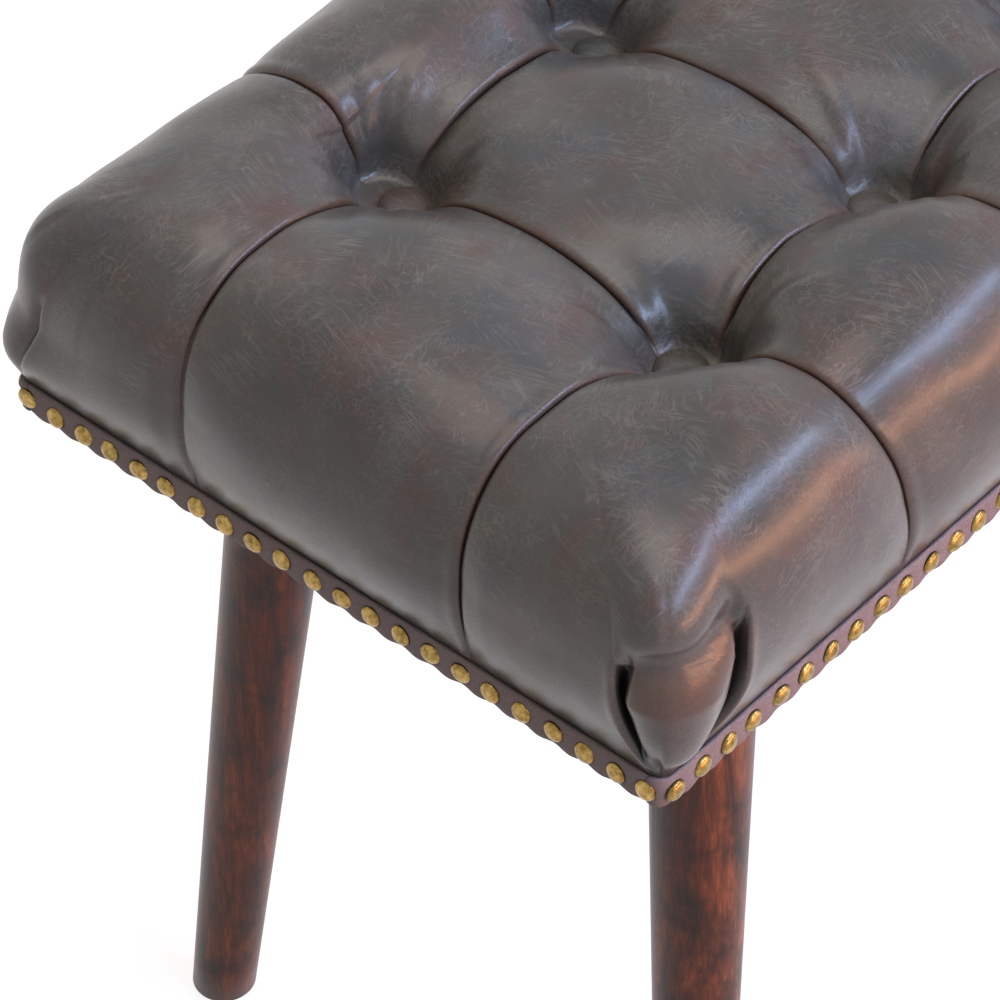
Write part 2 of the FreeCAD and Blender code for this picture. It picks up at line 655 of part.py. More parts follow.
# Nail band: four strips round the seat's lower edge, the long ones bent round the corners

band_low, band_high = size(BAND_BOTTOM), size(BAND_TOP)
band_ring = plan_prism(0, size("corner_radius"), band_low, band_high).cut(
    plan_prism(skirt_grow, skirt_corner, band_low, band_high)
)
straight_half = HALF_WIDTH - size("corner_radius")
slice_box = Part.makeBox(
    4 * HALF_LENGTH, 2 * straight_half, 2 * band_high, Vector(-2 * HALF_LENGTH, -straight_half, 0)
)
long_strips = band_ring.cut(slice_box).Solids
end_strips = band_ring.common(slice_box).Solids
for label, solids, place in (
    ("front_nail_band", long_strips, lambda solid: -solid.CenterOfMass.y),
    ("back_nail_band", long_strips, lambda solid: solid.CenterOfMass.y),
    ("left_nail_band", end_strips, lambda solid: -solid.CenterOfMass.x),
    ("right_nail_band", end_strips, lambda solid: solid.CenterOfMass.x),
):
    keep(feature(label, max(solids, key=place)), label)

# Dome-headed nails through the band, in one unbroken line round the seat

nail_radius, nail_height = size("nail_head_radius"), size("nail_head_height")
nail_head = turned([
    (0, 0), (nail_radius, 0), (nail_radius * DOME_REACH, nail_height * DOME_RISE), (0, nail_height),
], SMALL_SIDES)
nail_level = size("nail_line_height")


def nail_places(half_side):
    """Evenly spaced places along a side, the first and last a set distance from its corners."""
    reach = half_side - size("nail_from_corner")
    spaces = round(2 * reach / size("nail_pitch"))
    return [reach * (2 * number / spaces - 1) for number in range(spaces + 1)]


nail_shapes = []
for side in (-1, 1):
    for x in nail_places(HALF_LENGTH):
        nail_shapes.append(aimed(nail_head, (x, side * HALF_WIDTH, nail_level), (0, side, 0)))
    for y in nail_places(HALF_WIDTH):
        nail_shapes.append(aimed(nail_head, (side * HALF_LENGTH, y, nail_level), (side, 0, 0)))
keep(feature("dome_nails", Part.makeCompound(nail_shapes)), "dome_nails")

# Lining cloth under the frame, open round the legs, and the staples that hold it

lining_top = size(HIDE_BOTTOM)
lining_bottom = lining_top - size("lining_thickness")
lining = plan_prism(-size("lining_inset"), size("corner_radius") / 2, lining_bottom, lining_top)
lean_along, lean_across = size(f"leg_splay_along / {LEG_DROP}"), size(f"leg_splay_across / {LEG_DROP}")
hole_radius, hole_height = size("leg_top_radius + leg_hole_slack"), size("lining_thickness")
leg_hole = turned([(0, 0), (hole_radius, 0), (hole_radius, hole_height), (0, hole_height)], ROUND_SIDES)
hole_shapes = []
for name, (end, side) in CORNERS.items():
    drop = leg_tops[name].z - lining_bottom
    spot = leg_tops[name] + Vector(end * lean_along * drop, side * lean_across * drop, -drop)
    hole_shapes.append(aimed(leg_hole, spot, (0, 0, 1)))
keep(feature("lining_cloth", lining.cut(hole_shapes)), "lining_cloth")

staple_width, staple_wire = size("staple_width"), size("staple_wire")
staple_x = HALF_LENGTH - size("staple_from_side")
staple_y = HALF_WIDTH - size("staple_from_side")
staple_shapes = []
for reach, across, along_x in ((staple_x, staple_y, True), (staple_y, staple_x, False)):
    spaces = round(2 * reach / size("staple_pitch"))
    for number in range(spaces):
        run = reach * ((2 * number + 1) / spaces - 1)
        for side in (-1, 1):
            x, y = (run, side * across) if along_x else (side * across, run)
            long_x, long_y = (staple_width, staple_wire) if along_x else (staple_wire, staple_width)
            low = Vector(x - long_x / 2, y - long_y / 2, lining_bottom - staple_wire / 2)
            staple_shapes.append(Part.makeBox(long_x, long_y, staple_wire / 2, low))
keep(feature("lining_staples", Part.makeCompound(staple_shapes)), "lining_staples")

# Checks, then one STEP file for each sub-part

doc.recompute()
for item in doc.Objects:
    if {"Invalid", "Error"} & set(item.State):
        raise RuntimeError(f"{item.Name} failed: {item.State}")
os.makedirs("parts", exist_ok=True)
for item in parts:
    shape = item.Shape
    if shape.isNull() or not shape.isValid() or not shape.Solids:
        raise RuntimeError(f"{item.Label} has no valid solid")
    shape.exportStep(f"parts/{item.Label}.step")
    print(item.Label, "solids", len(shape.Solids), "volume", round(shape.Volume))
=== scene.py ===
"""Looks of a deep-buttoned leather bench on four splayed, turned legs.

Metres, in the part's frame: +X runs along the bench, the front faces -Y and +Z is up. The sections
follow the bench as it is put together, and sizes are written in millimetres times MM.
"""
import math

import bpy
import numpy as np
from mathutils import Matrix, Vector


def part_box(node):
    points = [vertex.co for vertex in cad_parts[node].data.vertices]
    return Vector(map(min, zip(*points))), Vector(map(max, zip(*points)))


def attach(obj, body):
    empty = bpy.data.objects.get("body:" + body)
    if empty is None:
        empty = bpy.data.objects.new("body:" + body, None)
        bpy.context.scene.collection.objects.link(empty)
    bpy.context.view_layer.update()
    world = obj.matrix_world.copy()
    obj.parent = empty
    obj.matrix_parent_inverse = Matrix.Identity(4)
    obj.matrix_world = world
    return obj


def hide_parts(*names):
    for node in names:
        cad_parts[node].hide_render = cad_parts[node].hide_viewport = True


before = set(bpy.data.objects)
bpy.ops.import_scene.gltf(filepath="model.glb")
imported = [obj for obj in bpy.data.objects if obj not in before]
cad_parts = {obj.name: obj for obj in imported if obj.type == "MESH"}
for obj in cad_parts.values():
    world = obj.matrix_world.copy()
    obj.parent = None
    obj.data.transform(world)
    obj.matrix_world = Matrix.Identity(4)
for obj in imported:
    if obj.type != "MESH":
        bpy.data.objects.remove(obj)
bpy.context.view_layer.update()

# Frame and corner blocks: softwood rails sawn square, butted and dowelled, with a block glued and
# screwed into each corner. The seat hides them, so they keep their plain sawn shape.

MM = 0.001


def linear(colour):
    """A linear RGBA colour from an sRGB hex one."""
    shares = [int(colour[start:start + 2], 16) / 255 for start in (1, 3, 5)]
    return [s / 12.92 if s <= 0.04045 else ((s + 0.055) / 1.055) ** 2.4 for s in shares] + [1.0]


def add(tree, kind, links=(), stops=(), **settings):
    """A node with its settings, the (place, hex colour) stops of a ramp, and its links, each given
    as its own socket, the other node and that node's socket."""
    node = tree.nodes.new(f"ShaderNode{kind}")
    for name, value in settings.items():
        if hasattr(node, name):
            setattr(node, name, value)
        else:
            node.inputs[name.replace("_", " ")].default_value = value
    for number, (place, colour) in enumerate(stops):
        ramp = node.color_ramp.elements
        stop = ramp[number] if number < len(ramp) else ramp.new(place)
        stop.position, stop.color = place, linear(colour)
    for socket, other, outlet in links:
        tree.links.new(other.outputs[outlet], node.inputs[socket])
    return node


def new_material(name):
    """An empty material with its main shader already linked to its output."""
    material = bpy.data.materials.new(name)
    material.use_nodes = True
    tree = material.node_tree
    tree.nodes.clear()
    shader = tree.nodes.new("ShaderNodeBsdfPrincipled")
    tree.links.new(shader.outputs[0], tree.nodes.new("ShaderNodeOutputMaterial").inputs[0])
    return material, tree, shader


def wood(name, tones, grain, roughness, squeeze):
    """Bare wood: growth bands stretched along the grain, with pores as fine streaks."""
    material, tree, shader = new_material(name)
    place = add(tree, "TexCoord")
    drawn = add(tree, "Mapping", [("Vector", place, "Object")], Scale=squeeze)
    bands = add(tree, "TexNoise", [("Vector", drawn, 0)], Scale=1 / grain, Detail=5.0, Distortion=0.6)
    pores = add(tree, "TexNoise", [("Vector", drawn, 0)], Scale=6 / grain, Detail=3.0, Roughness=0.7)
    tone = add(tree, "ValToRGB", [(0, bands, 0)], list(zip((0.3, 0.5, 0.68), tones)))
    streak = add(tree, "ValToRGB", [(0, pores, 0)], [(0.38, "#909090"), (0.56, "#ffffff")])
    mixed = add(tree, "Mix", [("A", tone, 0), ("B", streak, 0)], data_type="RGBA", blend_type="MULTIPLY",
                Factor=0.6)
    tree.links.new(mixed.outputs["Result"], shader.inputs["Base Color"])
    shader.inputs["Roughness"].default_value = roughness
    bump = add(tree, "Bump", [("Height", pores, 0)], Strength=0.25, Distance=0.3 * MM)
    tree.links.new(bump.outputs[0], shader.inputs["Normal"])
    return material


def dress(names, material):
    """Gives CAD nodes a material."""
    for name in names:
        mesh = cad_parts[name].data
        mesh.materials.clear()
        mesh.materials.append(material)


# Pine, band-sawn: pale yellow-brown with broad soft bands, dull because it is left bare. A growth
# band is about 9 mm wide, and drawn 14 times as long as wide
sawn_pine = wood("sawn_pine", ("#a97f4f", "#c79c66", "#dcb883"), 9 * MM, 0.8, (0.07, 1, 1))
dress(["front_rail", "back_rail", "left_end_rail", "right_end_rail", "cross_rail"], sawn_pine)
dress([f"{end}_{side}_block" for end in ("front", "back") for side in ("left", "right")], sawn_pine)

# Dowels: fluted beech pins, glued into the butt joints of the frame. They run across the bench,
# and so does their grain.

# Beech, turned: fine even grain with short dark flecks about 3 mm wide, faintly shiny
turned_beech = wood("turned_beech", ("#b98a5e", "#cda277", "#dcb68d"), 3 * MM, 0.6, (1, 0.07, 1))
dress(["rail_dowels"], turned_beech)

# Screws, hanger bolts, T-nuts, twine washers and staples: steel turnings and pressings that hold
# the frame, the legs, the twines and the lining, nearly all out of sight.

# Steel, zinc plated: bluish grey with a cloudy bloom of about 4 mm, half shiny
zinc_plate, tree, shader = new_material("zinc_plated_steel")
bloom = add(tree, "TexNoise", Scale=1 / (4 * MM), Detail=3.0)
tone = add(tree, "ValToRGB", [(0, bloom, 0)], [(0.35, "#a9adad"), (0.65, "#c9cbc6")])
tree.links.new(tone.outputs[0], shader.inputs["Base Color"])
haze = add(tree, "MapRange", [("Value", bloom, 0)], To_Min=0.28, To_Max=0.45)
tree.links.new(haze.outputs[0], shader.inputs["Roughness"])
shader.inputs["Metallic"].default_value = 1.0
dress(["block_screws", "deck_screws", "hanger_bolts", "t_nuts", "twine_washers", "lining_staples"],
      zinc_plate)

# Legs: round beech, turned with a straight taper and an eased foot, stained and lacquered. Each
# is screwed up into its corner block and leans outwards.


def mesh_object(name, points, faces, material, smooth_shaded=True):
    """A mesh piece made from points in metres and faces, with one material."""
    mesh = bpy.data.meshes.new(name)
    mesh.from_pydata([tuple(point) for point in points], [], [tuple(face) for face in faces])
    mesh.polygons.foreach_set("use_smooth", [smooth_shaded] * len(mesh.polygons))
    mesh.materials.append(material)
    mesh.update()
    piece = bpy.data.objects.new(name, mesh)
    bpy.context.scene.collection.objects.link(piece)
    return piece


def lathe(rings, sides, first=0):
    """Points and faces of a closed turned form through level rings, each a centre and a radius."""
    turns = np.linspace(0, 2 * math.pi, sides, endpoint=False)
    points = [
        (centre[0] + radius * math.cos(turn), centre[1] + radius * math.sin(turn), centre[2])
        for centre, radius in rings for turn in turns
    ]
    faces = []
    for low in range(first, first + (len(rings) - 1) * sides, sides):
        for side in range(sides):
            after = (side + 1) % sides
            faces.append((low + side, low + after, low + sides + after, low + sides + side))
    faces.append(tuple(range(first + sides - 1, first - 1, -1)))
    faces.append(tuple(range(first + (len(rings) - 1) * sides, first + len(rings) * sides)))
    return points, faces


SAME_LEVEL = 0.1 * MM


def level_ring(mesh, level):
    """The centre and radius of the round end that a mesh has at a level."""
    rim = np.array([vertex.co for vertex in mesh.vertices if abs(vertex.co.z - level) < SAME_LEVEL])
    low, high = rim.min(0), rim.max(0)
    return Vector((low + high) / 2), (high - low)[0] / 2


# Beech, stained and sprayed with satin lacquer: red-brown with orange streaks 11 mm wide and about
# eight times as long, and dark pools of stain 22 mm across, under a soft sheen
stained_beech, tree, shader = new_material("stained_beech")
place = add(tree, "TexCoord")
drawn = add(tree, "Mapping", [("Vector", place, "Object")], Scale=(1, 1, 0.12))
drift = add(tree, "TexNoise", [("Vector", drawn, 0)], Scale=1 / (11 * MM), Detail=6.0, Roughness=0.62,
            Distortion=0.9)
pores = add(tree, "TexNoise", [("Vector", drawn, 0)], Scale=1 / (1.6 * MM), Detail=4.0, Roughness=0.7)
stain = add(tree, "ValToRGB", [(0, drift, 0)], [
    (0.3, "#331a10"), (0.44, "#552a18"), (0.54, "#703a20"), (0.64, "#8f5030"), (0.76, "#a86c42"),
])
blotch = add(tree, "TexNoise", [("Vector", place, "Object")], Scale=1 / (22 * MM), Detail=5.0, Roughness=0.65)
pool = add(tree, "ValToRGB", [(0, blotch, 0)], [(0.34, "#5c4a42"), (0.54, "#ffffff")])
streak = add(tree, "ValToRGB", [(0, pores, 0)], [(0.34, "#857a76"), (0.6, "#ffffff")])
pooled = add(tree, "Mix", [("A", stain, 0), ("B", pool, 0)], data_type="RGBA", blend_type="MULTIPLY",
             Factor=0.8)
grained = add(tree, "Mix", [("A", pooled, "Result"), ("B", streak, 0)], data_type="RGBA",
              blend_type="MULTIPLY", Factor=0.7)
tree.links.new(grained.outputs["Result"], shader.inputs["Base Color"])
gloss = add(tree, "MapRange", [("Value", drift, 0)], To_Min=0.28, To_Max=0.44)
tree.links.new(gloss.outputs[0], shader.inputs["Roughness"])
bump = add(tree, "Bump", [("Height", pores, 0)], Strength=0.18, Distance=0.2 * MM)
tree.links.new(bump.outputs[0], shader.inputs["Normal"])
shader.inputs["Specular IOR Level"].default_value = 0.2
shader.inputs["Coat Weight"].default_value = 0.12
shader.inputs["Coat Roughness"].default_value = 0.2

# The foot is eased over this length, first quickly and then slowly
LEG_EDGE, LEG_SIDES, LEG_RINGS = 1.5 * MM, 72, 24
FIRST_RISE, FIRST_SPREAD = 0.25, 0.6
for name in ("front_left_leg", "front_right_leg", "back_left_leg", "back_right_leg"):
    foot_corner, top_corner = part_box(name)
    foot, foot_radius = level_ring(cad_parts[name].data, foot_corner.z)
    top, top_radius = level_ring(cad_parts[name].data, top_corner.z)
    eased = LEG_EDGE / (top.z - foot.z)
    rings = [(foot, foot_radius), (foot.lerp(top, eased * FIRST_RISE), foot_radius + LEG_EDGE * FIRST_SPREAD)]
    rings += [
        (foot.lerp(top, share), foot_radius + LEG_EDGE + (top_radius - foot_radius - LEG_EDGE) * share)
        for share in np.linspace(eased, 1, LEG_RINGS)
    ]
    leg = mesh_object(f"{name}_turned", *lathe(rings, LEG_SIDES), stained_beech)
    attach(leg, "root")
    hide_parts(name)

# Glides: black discs with a pin, moulded in nylon and nailed under the feet so that the legs
# don't chip.

# Nylon, moulded: near black with a mottle of 1.5 mm, dull from wear on the floor
moulded_nylon, tree, shader = new_material("moulded_nylon")
mottle = add(tree, "TexNoise", Scale=1 / (1.5 * MM), Detail=4.0)
tone = add(tree, "ValToRGB", [(0, mottle, 0)], [(0.3, "#161616"), (0.7, "#2a2928")])
tree.links.new(tone.outputs[0], shader.inputs["Base Color"])
shader.inputs["Roughness"].default_value = 0.55
dress(["foot_glides"], moulded_nylon)

# Seat deck: 9 mm birch plywood, sanded, screwed down on the rails and drilled for the twines. It
# carries the foam.

# Birch plywood, sanded: pale and even, with faint flames 22 mm wide in the face veneer
birch_plywood = wood("birch_plywood", ("#c9a878", "#dcc092", "#e8d2a8"), 22 * MM, 0.65, (0.07, 1, 1))
dress(["seat_deck"], birch_plywood)

# Foam pad: a slab of polyurethane foam with eased edges, punched under each button and glued
# down on the deck. The cover presses its top down, out of sight in the pits.

# Polyurethane foam, cut: warm cream and quite dull, with open cells of 1.2 mm
cut_foam, tree, shader = new_material("cut_foam")
cells = add(tree, "TexVoronoi", Scale=1 / (1.2 * MM))
tone = add(tree, "ValToRGB", [(0, cells, 0)], [(0.1, "#c9bd94"), (0.5, "#ece2c0")])
tree.links.new(tone.outputs[0], shader.inputs["Base Color"])
shader.inputs["Roughness"].default_value = 0.95
bump = add(tree, "Bump", [("Height", cells, 0)], Strength=0.5, Distance=0.5 * MM)
tree.links.new(bump.outputs[0], shader.inputs["Normal"])

FOAM_EASE, FOAM_SETTLED = 3 * MM, 14 * MM
foam = bpy.data.objects.new("punched_foam_pad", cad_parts["foam_pad"].data.copy())
bpy.context.scene.collection.objects.link(foam)
foam_bottom, foam_top = (corner.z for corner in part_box("foam_pad"))
for vertex in foam.data.vertices:
    vertex.co.z -= FOAM_SETTLED * (vertex.co.z - foam_bottom) / (foam_top - foam_bottom)
foam.data.materials.clear()
foam.data.materials.append(cut_foam)
eased = foam.modifiers.new("eased_edges", "BEVEL")
eased.width, eased.segments, eased.limit_method = FOAM_EASE, 2, "ANGLE"
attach(foam, "root")
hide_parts("foam_pad")

# Button twines: waxed flax, led down through the foam and the deck, and tied to washers. Each is
# pulled tight, and its whole length lies inside the seat.

# Flax, twisted and waxed: pale straw with slanting plies 3 mm apart, a little shiny
waxed_flax, tree, shader = new_material("waxed_flax")
plies = add(tree, "TexWave", Scale=1 / (3 * MM), Distortion=1.0, bands_direction="DIAGONAL")
tone = add(tree, "ValToRGB", [(0, plies, 0)], [(0.2, "#a99872"), (0.8, "#d9cba6")])
tree.links.new(tone.outputs[0], shader.inputs["Base Color"])
shader.inputs["Roughness"].default_value = 0.5
dress(["button_twines"], waxed_flax)

# Leather cover: one hide pulled over wadding, tied down at each button, folded into knife pleats
# from button to button and down the sides, tucked into a tongue at each corner and turned under
# the frame. It is one sheet, laid out as a grid whose lines are close together along every fold.

band_low, band_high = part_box("front_nail_band")
twines_low, twines_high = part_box("button_twines")
buttons_low, buttons_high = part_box("covered_buttons")
hem_level, crown_level = (corner.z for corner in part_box("leather_cover"))
HALF_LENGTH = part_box("right_nail_band")[1].x
HALF_WIDTH = -band_low.y
TWINE_RADIUS = 1.2 * MM
BUTTON_COLUMNS = 6
button_x = np.linspace(twines_low.x + TWINE_RADIUS, twines_high.x - TWINE_RADIUS, BUTTON_COLUMNS)
row_y = twines_high.y - TWINE_RADIUS
BUTTON_RADIUS = buttons_high.y - row_y
RIM_OVER_BUTTON = 2 * MM
rim_level = buttons_low.z + RIM_OVER_BUTTON

HIDE, BAND = 1.26 * MM, 1.6 * MM
SIDE_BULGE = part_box("leather_cover")[1].y - HALF_WIDTH
SHOULDER_REACH, BULGE_RISE, MIDDLE_DROP = 52 * MM, 60 * MM, 12 * MM
widest_level = (band_low.z + band_high.z) / 2 + BULGE_RISE
BORDER_CORNER, WIDEST_CORNER, BAND_CORNER = 50 * MM, 27 * MM, 6.4 * MM
border_x = HALF_LENGTH + SIDE_BULGE - SHOULDER_REACH
border_y = HALF_WIDTH + SIDE_BULGE - SHOULDER_REACH
# The grid's spacing on a fold, away from it, and how much each step grows on the way
FINE, COARSE, GROWTH = 0.7 * MM, 2.8 * MM, 1.2


def smooth(low, high, values):
    """0 up to low, 1 from high on, and a soft rise between them."""
    share = np.clip((values - low) / (high - low), 0, 1)
    return share * share * (3 - 2 * share)


def graded(span, fine_start, fine_end):
    """Shares of a span from 0 to 1, close together at the ends that lie on a fold."""
    steps, reach, step = [], 0.0, FINE
    while reach < (span / 2 if fine_start and fine_end else span):
        steps.append(step)
        reach += step
        step = min(step * GROWTH, COARSE)
    if fine_end:
        steps = (steps if fine_start else []) + steps[::-1]
    return np.concatenate([[0.0], np.cumsum(steps)]) / sum(steps)


# Round a corner the lines fan out. The tongue's edge has this share of the way from where the fan
# starts to the corner's middle, and the spans are the usual lengths on both sides of it.
TONGUE_EDGE = 0.42
BESIDE_TONGUE, TONGUE_SPAN = 74 * MM, 36 * MM
corner_shares = np.concatenate([
    graded(BESIDE_TONGUE, False, True) * TONGUE_EDGE,
    TONGUE_EDGE + graded(TONGUE_SPAN, True, False)[1:] * (1 - TONGUE_EDGE),
])


def half_lines(folds, border):
    """Grid lines from the middle to the border on one side, and the number of the fan's first."""
    lines, fine_start = [0.0], False
    for end, fine_end in [(fold, True) for fold in folds] + [(border - BORDER_CORNER, False)]:
        span = end - lines[-1]
        lines += list(lines[-1] + span * graded(span, fine_start, fine_end)[1:])
        fine_start = True
    fan_steps = math.sqrt(2) * np.sin(corner_shares[1:] * math.pi / 4)
    return np.array(lines + list(lines[-1] + BORDER_CORNER * fan_steps)), len(lines) - 1


half_x, fan_x = half_lines(button_x[button_x > 0], border_x)
half_y, fan_y = half_lines([row_y], border_y)
grid_x, grid_y = np.meshgrid(
    np.concatenate([-half_x[:0:-1], half_x]), np.concatenate([-half_y[:0:-1], half_y]), indexing="ij"
)
count_x, count_y = grid_x.shape
top_count = count_x * count_y

# The top: level at the shoulders, a little lower between the button rows, and round in plan
beyond_x = np.clip((np.abs(grid_x) - border_x + BORDER_CORNER) / BORDER_CORNER, 0, 1)
beyond_y = np.clip((np.abs(grid_y) - border_y + BORDER_CORNER) / BORDER_CORNER, 0, 1)
top_x = grid_x - np.sign(grid_x) * BORDER_CORNER * beyond_x * (1 - np.sqrt(1 - beyond_y ** 2 / 2))
top_y = grid_y - np.sign(grid_y) * BORDER_CORNER * beyond_y * (1 - np.sqrt(1 - beyond_x ** 2 / 2))
LOW_TO_ROW, LEVEL_BEYOND_ROW, LEVEL_BEYOND_COLUMN = 16 * MM, 50 * MM, 80 * MM
in_middle = 1 - smooth(row_y - LOW_TO_ROW, row_y + LEVEL_BEYOND_ROW, np.abs(top_y))
in_middle *= 1 - smooth(button_x[-1], button_x[-1] + LEVEL_BEYOND_COLUMN, np.abs(top_x))
top_z = crown_level - MIDDLE_DROP * in_middle

# The tongue's edges: how far from the corner's middle they run, on the long side and on the end
TONGUE_POINT, TONGUE_FULL_BY = 1.2 * MM, 50 * MM
TONGUE_LONG, TONGUE_END = 45 * MM, 23 * MM
LONG_BEND, END_BEND = 3.0, 2.0
# Where the openings beside the tongue close above the band, and how softly
LONG_TOP, END_TOP, LONG_TAPER, END_TAPER = 84 * MM, 72 * MM, 26 * MM, 13 * MM
OPENING_FROM, OPENING_FULL_BY = 3 * MM, 22 * MM
LIP_OVER_OPENING, ROLLED_BEFORE_EDGE, ROLLED_WIDTH = 0.9 * MM, 1.2 * MM, 2.2 * MM
SHOULDER_FROM = 0.35
border_tongue = (1 - TONGUE_EDGE) * math.pi / 4 * BORDER_CORNER


def opening_share(level, top, taper):
    """How open the gap beside a tongue is at a level: closed at the band and above its top."""
    risen = level - band_high.z
    return (1 - smooth(top - taper, top, risen)) * smooth(OPENING_FROM, OPENING_FULL_BY, risen)


def ring_outline(outset, level, corner):
    """Places along one ring round the seat, each with its distance from the tongue's edge."""
    risen = np.clip((level - band_high.z) / TONGUE_FULL_BY, 0, 1)
    up = np.clip((level - widest_level) / (crown_level - widest_level), 0, 1)
    shoulder = smooth(SHOULDER_FROM, 1.0, up)
    sides = []
    for half_along, half_across, lines, fan, reach, bend, top, taper in (
        (HALF_LENGTH, HALF_WIDTH, half_x, fan_x, TONGUE_LONG, LONG_BEND, LONG_TOP, LONG_TAPER),
        (HALF_WIDTH, HALF_LENGTH, half_y, fan_y, TONGUE_END, END_BEND, END_TOP, END_TAPER),
    ):
        tongue = TONGUE_POINT + (reach - TONGUE_POINT) * (1 - (1 - risen) ** bend)
        tongue += (border_tongue - tongue) * shoulder
        arc_start = half_along + outset - corner
        edge = arc_start + corner * math.pi / 4 - tongue
        before = lines[fan] + (edge - lines[fan]) * corner_shares / TONGUE_EDGE
        after = edge + tongue * (corner_shares - TONGUE_EDGE) / (1 - TONGUE_EDGE)
        runs = np.concatenate([lines[:fan], np.where(corner_shares <= TONGUE_EDGE, before, after)])
        from_edge = runs - edge
        rolled = np.exp(-((from_edge + ROLLED_BEFORE_EDGE) / ROLLED_WIDTH) ** 2) * (from_edge <= 0)
        runs = runs + LIP_OVER_OPENING * rolled * opening_share(level, top, taper)
        turn = np.clip(runs - arc_start, 0, None) / corner
        along = np.where(turn > 0, arc_start + corner * np.sin(turn), runs)
        across = half_across + outset - corner * (1 - np.cos(turn))
        sides.append((along, across, from_edge))
    loops = []
    for number in range(4):
        along, across, from_edge = sides[number % 2]
        along = np.concatenate([-along[:0:-1], along])
        across, from_edge = (np.concatenate([v[:0:-1], v]) for v in (across, from_edge))
        if number == 0:
            loop = (along, -across, from_edge)
        elif number == 1:
            loop = (across, along, from_edge)
        elif number == 2:
            loop = (along[::-1], across, from_edge)
        else:
            loop = (-across, along[::-1], from_edge)
        loops.append(np.stack(loop, -1)[:-1])
    plan = np.concatenate(loops)
    return np.column_stack([plan[:, :2], np.full(len(plan), level)]), plan[:, 2]


# The side: rings from the top's border over the shoulder, down the flank and under the frame.
# The shoulder is a quarter of an ellipse, and boxier at the corners, where the hide is folded
SHOULDER_RINGS, FLANK_RINGS, HEM_RINGS, UNDER_RINGS = 26, 20, 3, 4
HEM_TURN = 18 * MM
CORNER_POWER, CORNER_EASE = 3.4, 0.8
ring_sizes = []
for step in range(1, SHOULDER_RINGS + 1):
    turn = math.pi / 2 * (1 - step / SHOULDER_RINGS)
    for power in (2.0, CORNER_POWER):
        across, up = math.cos(turn) ** (2 / power), math.sin(turn) ** (2 / power)
        ring_sizes.append((
            SIDE_BULGE - SHOULDER_REACH * (1 - across),
            widest_level + (crown_level - widest_level) * up,
            WIDEST_CORNER + (BORDER_CORNER - WIDEST_CORNER) * (1 - across),
        ))
for step in range(1, FLANK_RINGS + 1):
    share = 1 - step / FLANK_RINGS
    size = (
        SIDE_BULGE - (SIDE_BULGE + BAND) * (1 - share) ** 2,
        band_high.z + (widest_level - band_high.z) * share,
        BAND_CORNER + (WIDEST_CORNER - BAND_CORNER) * share ** CORNER_EASE,
    )
    ring_sizes += [size, size]
for step in range(1, HEM_RINGS + 1):
    size = (-BAND, band_high.z + (hem_level - band_high.z) * step / HEM_RINGS, BAND_CORNER)
    ring_sizes += [size, size]
for step in range(1, UNDER_RINGS + 1):
    size = (-BAND - HEM_TURN * step / UNDER_RINGS, hem_level, BAND_CORNER / 2)
    ring_sizes += [size, size]
at_corner = []
for fan in (fan_x, fan_y, fan_x, fan_y):
    share = smooth(0, 1, np.concatenate([np.zeros(fan), corner_shares]))
    at_corner.append(np.concatenate([share[:0:-1], share])[:-1])
at_corner = np.concatenate(at_corner)[:, None]
points = [np.stack([top_x, top_y, top_z], -1).reshape(-1, 3)]
from_edge = [np.full(top_count, -1.0)]
for plain, boxy in zip(ring_sizes[::2], ring_sizes[1::2]):
    (plain_ring, distance), (boxy_ring, boxy_distance) = ring_outline(*plain), ring_outline(*boxy)
    points.append(plain_ring + (boxy_ring - plain_ring) * at_corner)
    from_edge.append(distance + (boxy_distance - distance) * at_corner[:, 0])
points, from_edge = np.concatenate(points), np.concatenate(from_edge)

top_index = np.arange(top_count).reshape(count_x, count_y)
border = np.concatenate([
    top_index[:, 0][:-1], top_index[-1, :][:-1], top_index[::-1, -1][:-1], top_index[0, ::-1][:-1],
])
ring_count = len(ring_sizes) // 2
ring_index = [border] + [
    top_count + number * len(border) + np.arange(len(border)) for number in range(ring_count)
]
faces = [np.stack(
    [top_index[:-1, :-1], top_index[1:, :-1], top_index[1:, 1:], top_index[:-1, 1:]], -1
).reshape(-1, 4)]
faces += [
    np.stack([upper, lower, np.roll(lower, -1), np.roll(upper, -1)], -1)
    for upper, lower in zip(ring_index[:-1], ring_index[1:])
]
faces = np.concatenate(faces)

# Where each point lies among the folds: its line's place on the top, how far down the side it is
# along the hide, and whether it is on a long side or an end
line_x, line_y = grid_x.reshape(-1), grid_y.reshape(-1)
side_x, side_y = (np.tile(values[border], ring_count) for values in (line_x, line_y))
long_loop = np.concatenate([np.full(count - 1, flag) for count, flag in ((count_x, 1), (count_y, 0)) * 2])
on_long = np.concatenate([np.zeros(top_count), np.tile(long_loop, ring_count)])
on_end = np.concatenate([np.zeros(top_count), np.tile(1 - long_loop, ring_count)])
line_x, line_y = np.concatenate([line_x, side_x]), np.concatenate([line_y, side_y])
ring_points = np.stack([points[ids] for ids in ring_index])
travelled = np.cumsum(np.linalg.norm(np.diff(ring_points, axis=0), axis=2), axis=0)
down = np.concatenate([np.zeros(top_count), travelled.reshape(-1)])
flank_share = np.clip((points[:, 2] - band_high.z) / (widest_level - band_high.z), 0, 1)
hidden = points[:, 2] < band_high.z + SAME_LEVEL

# Pleats down the long sides lean along the bench, because the hide was pulled that way
PLEAT_LEAN, SIDE_RUN, LEAN_BEYOND_COLUMN = 20 * MM, 150 * MM, 20 * MM
lean = PLEAT_LEAN * on_long * smooth(0, SIDE_RUN, down)
lean_end = smooth(button_x[-1] + LEAN_BEYOND_COLUMN, border_x - BORDER_CORNER, np.abs(line_x))
points[:, 0] += lean * (1 - lean_end)


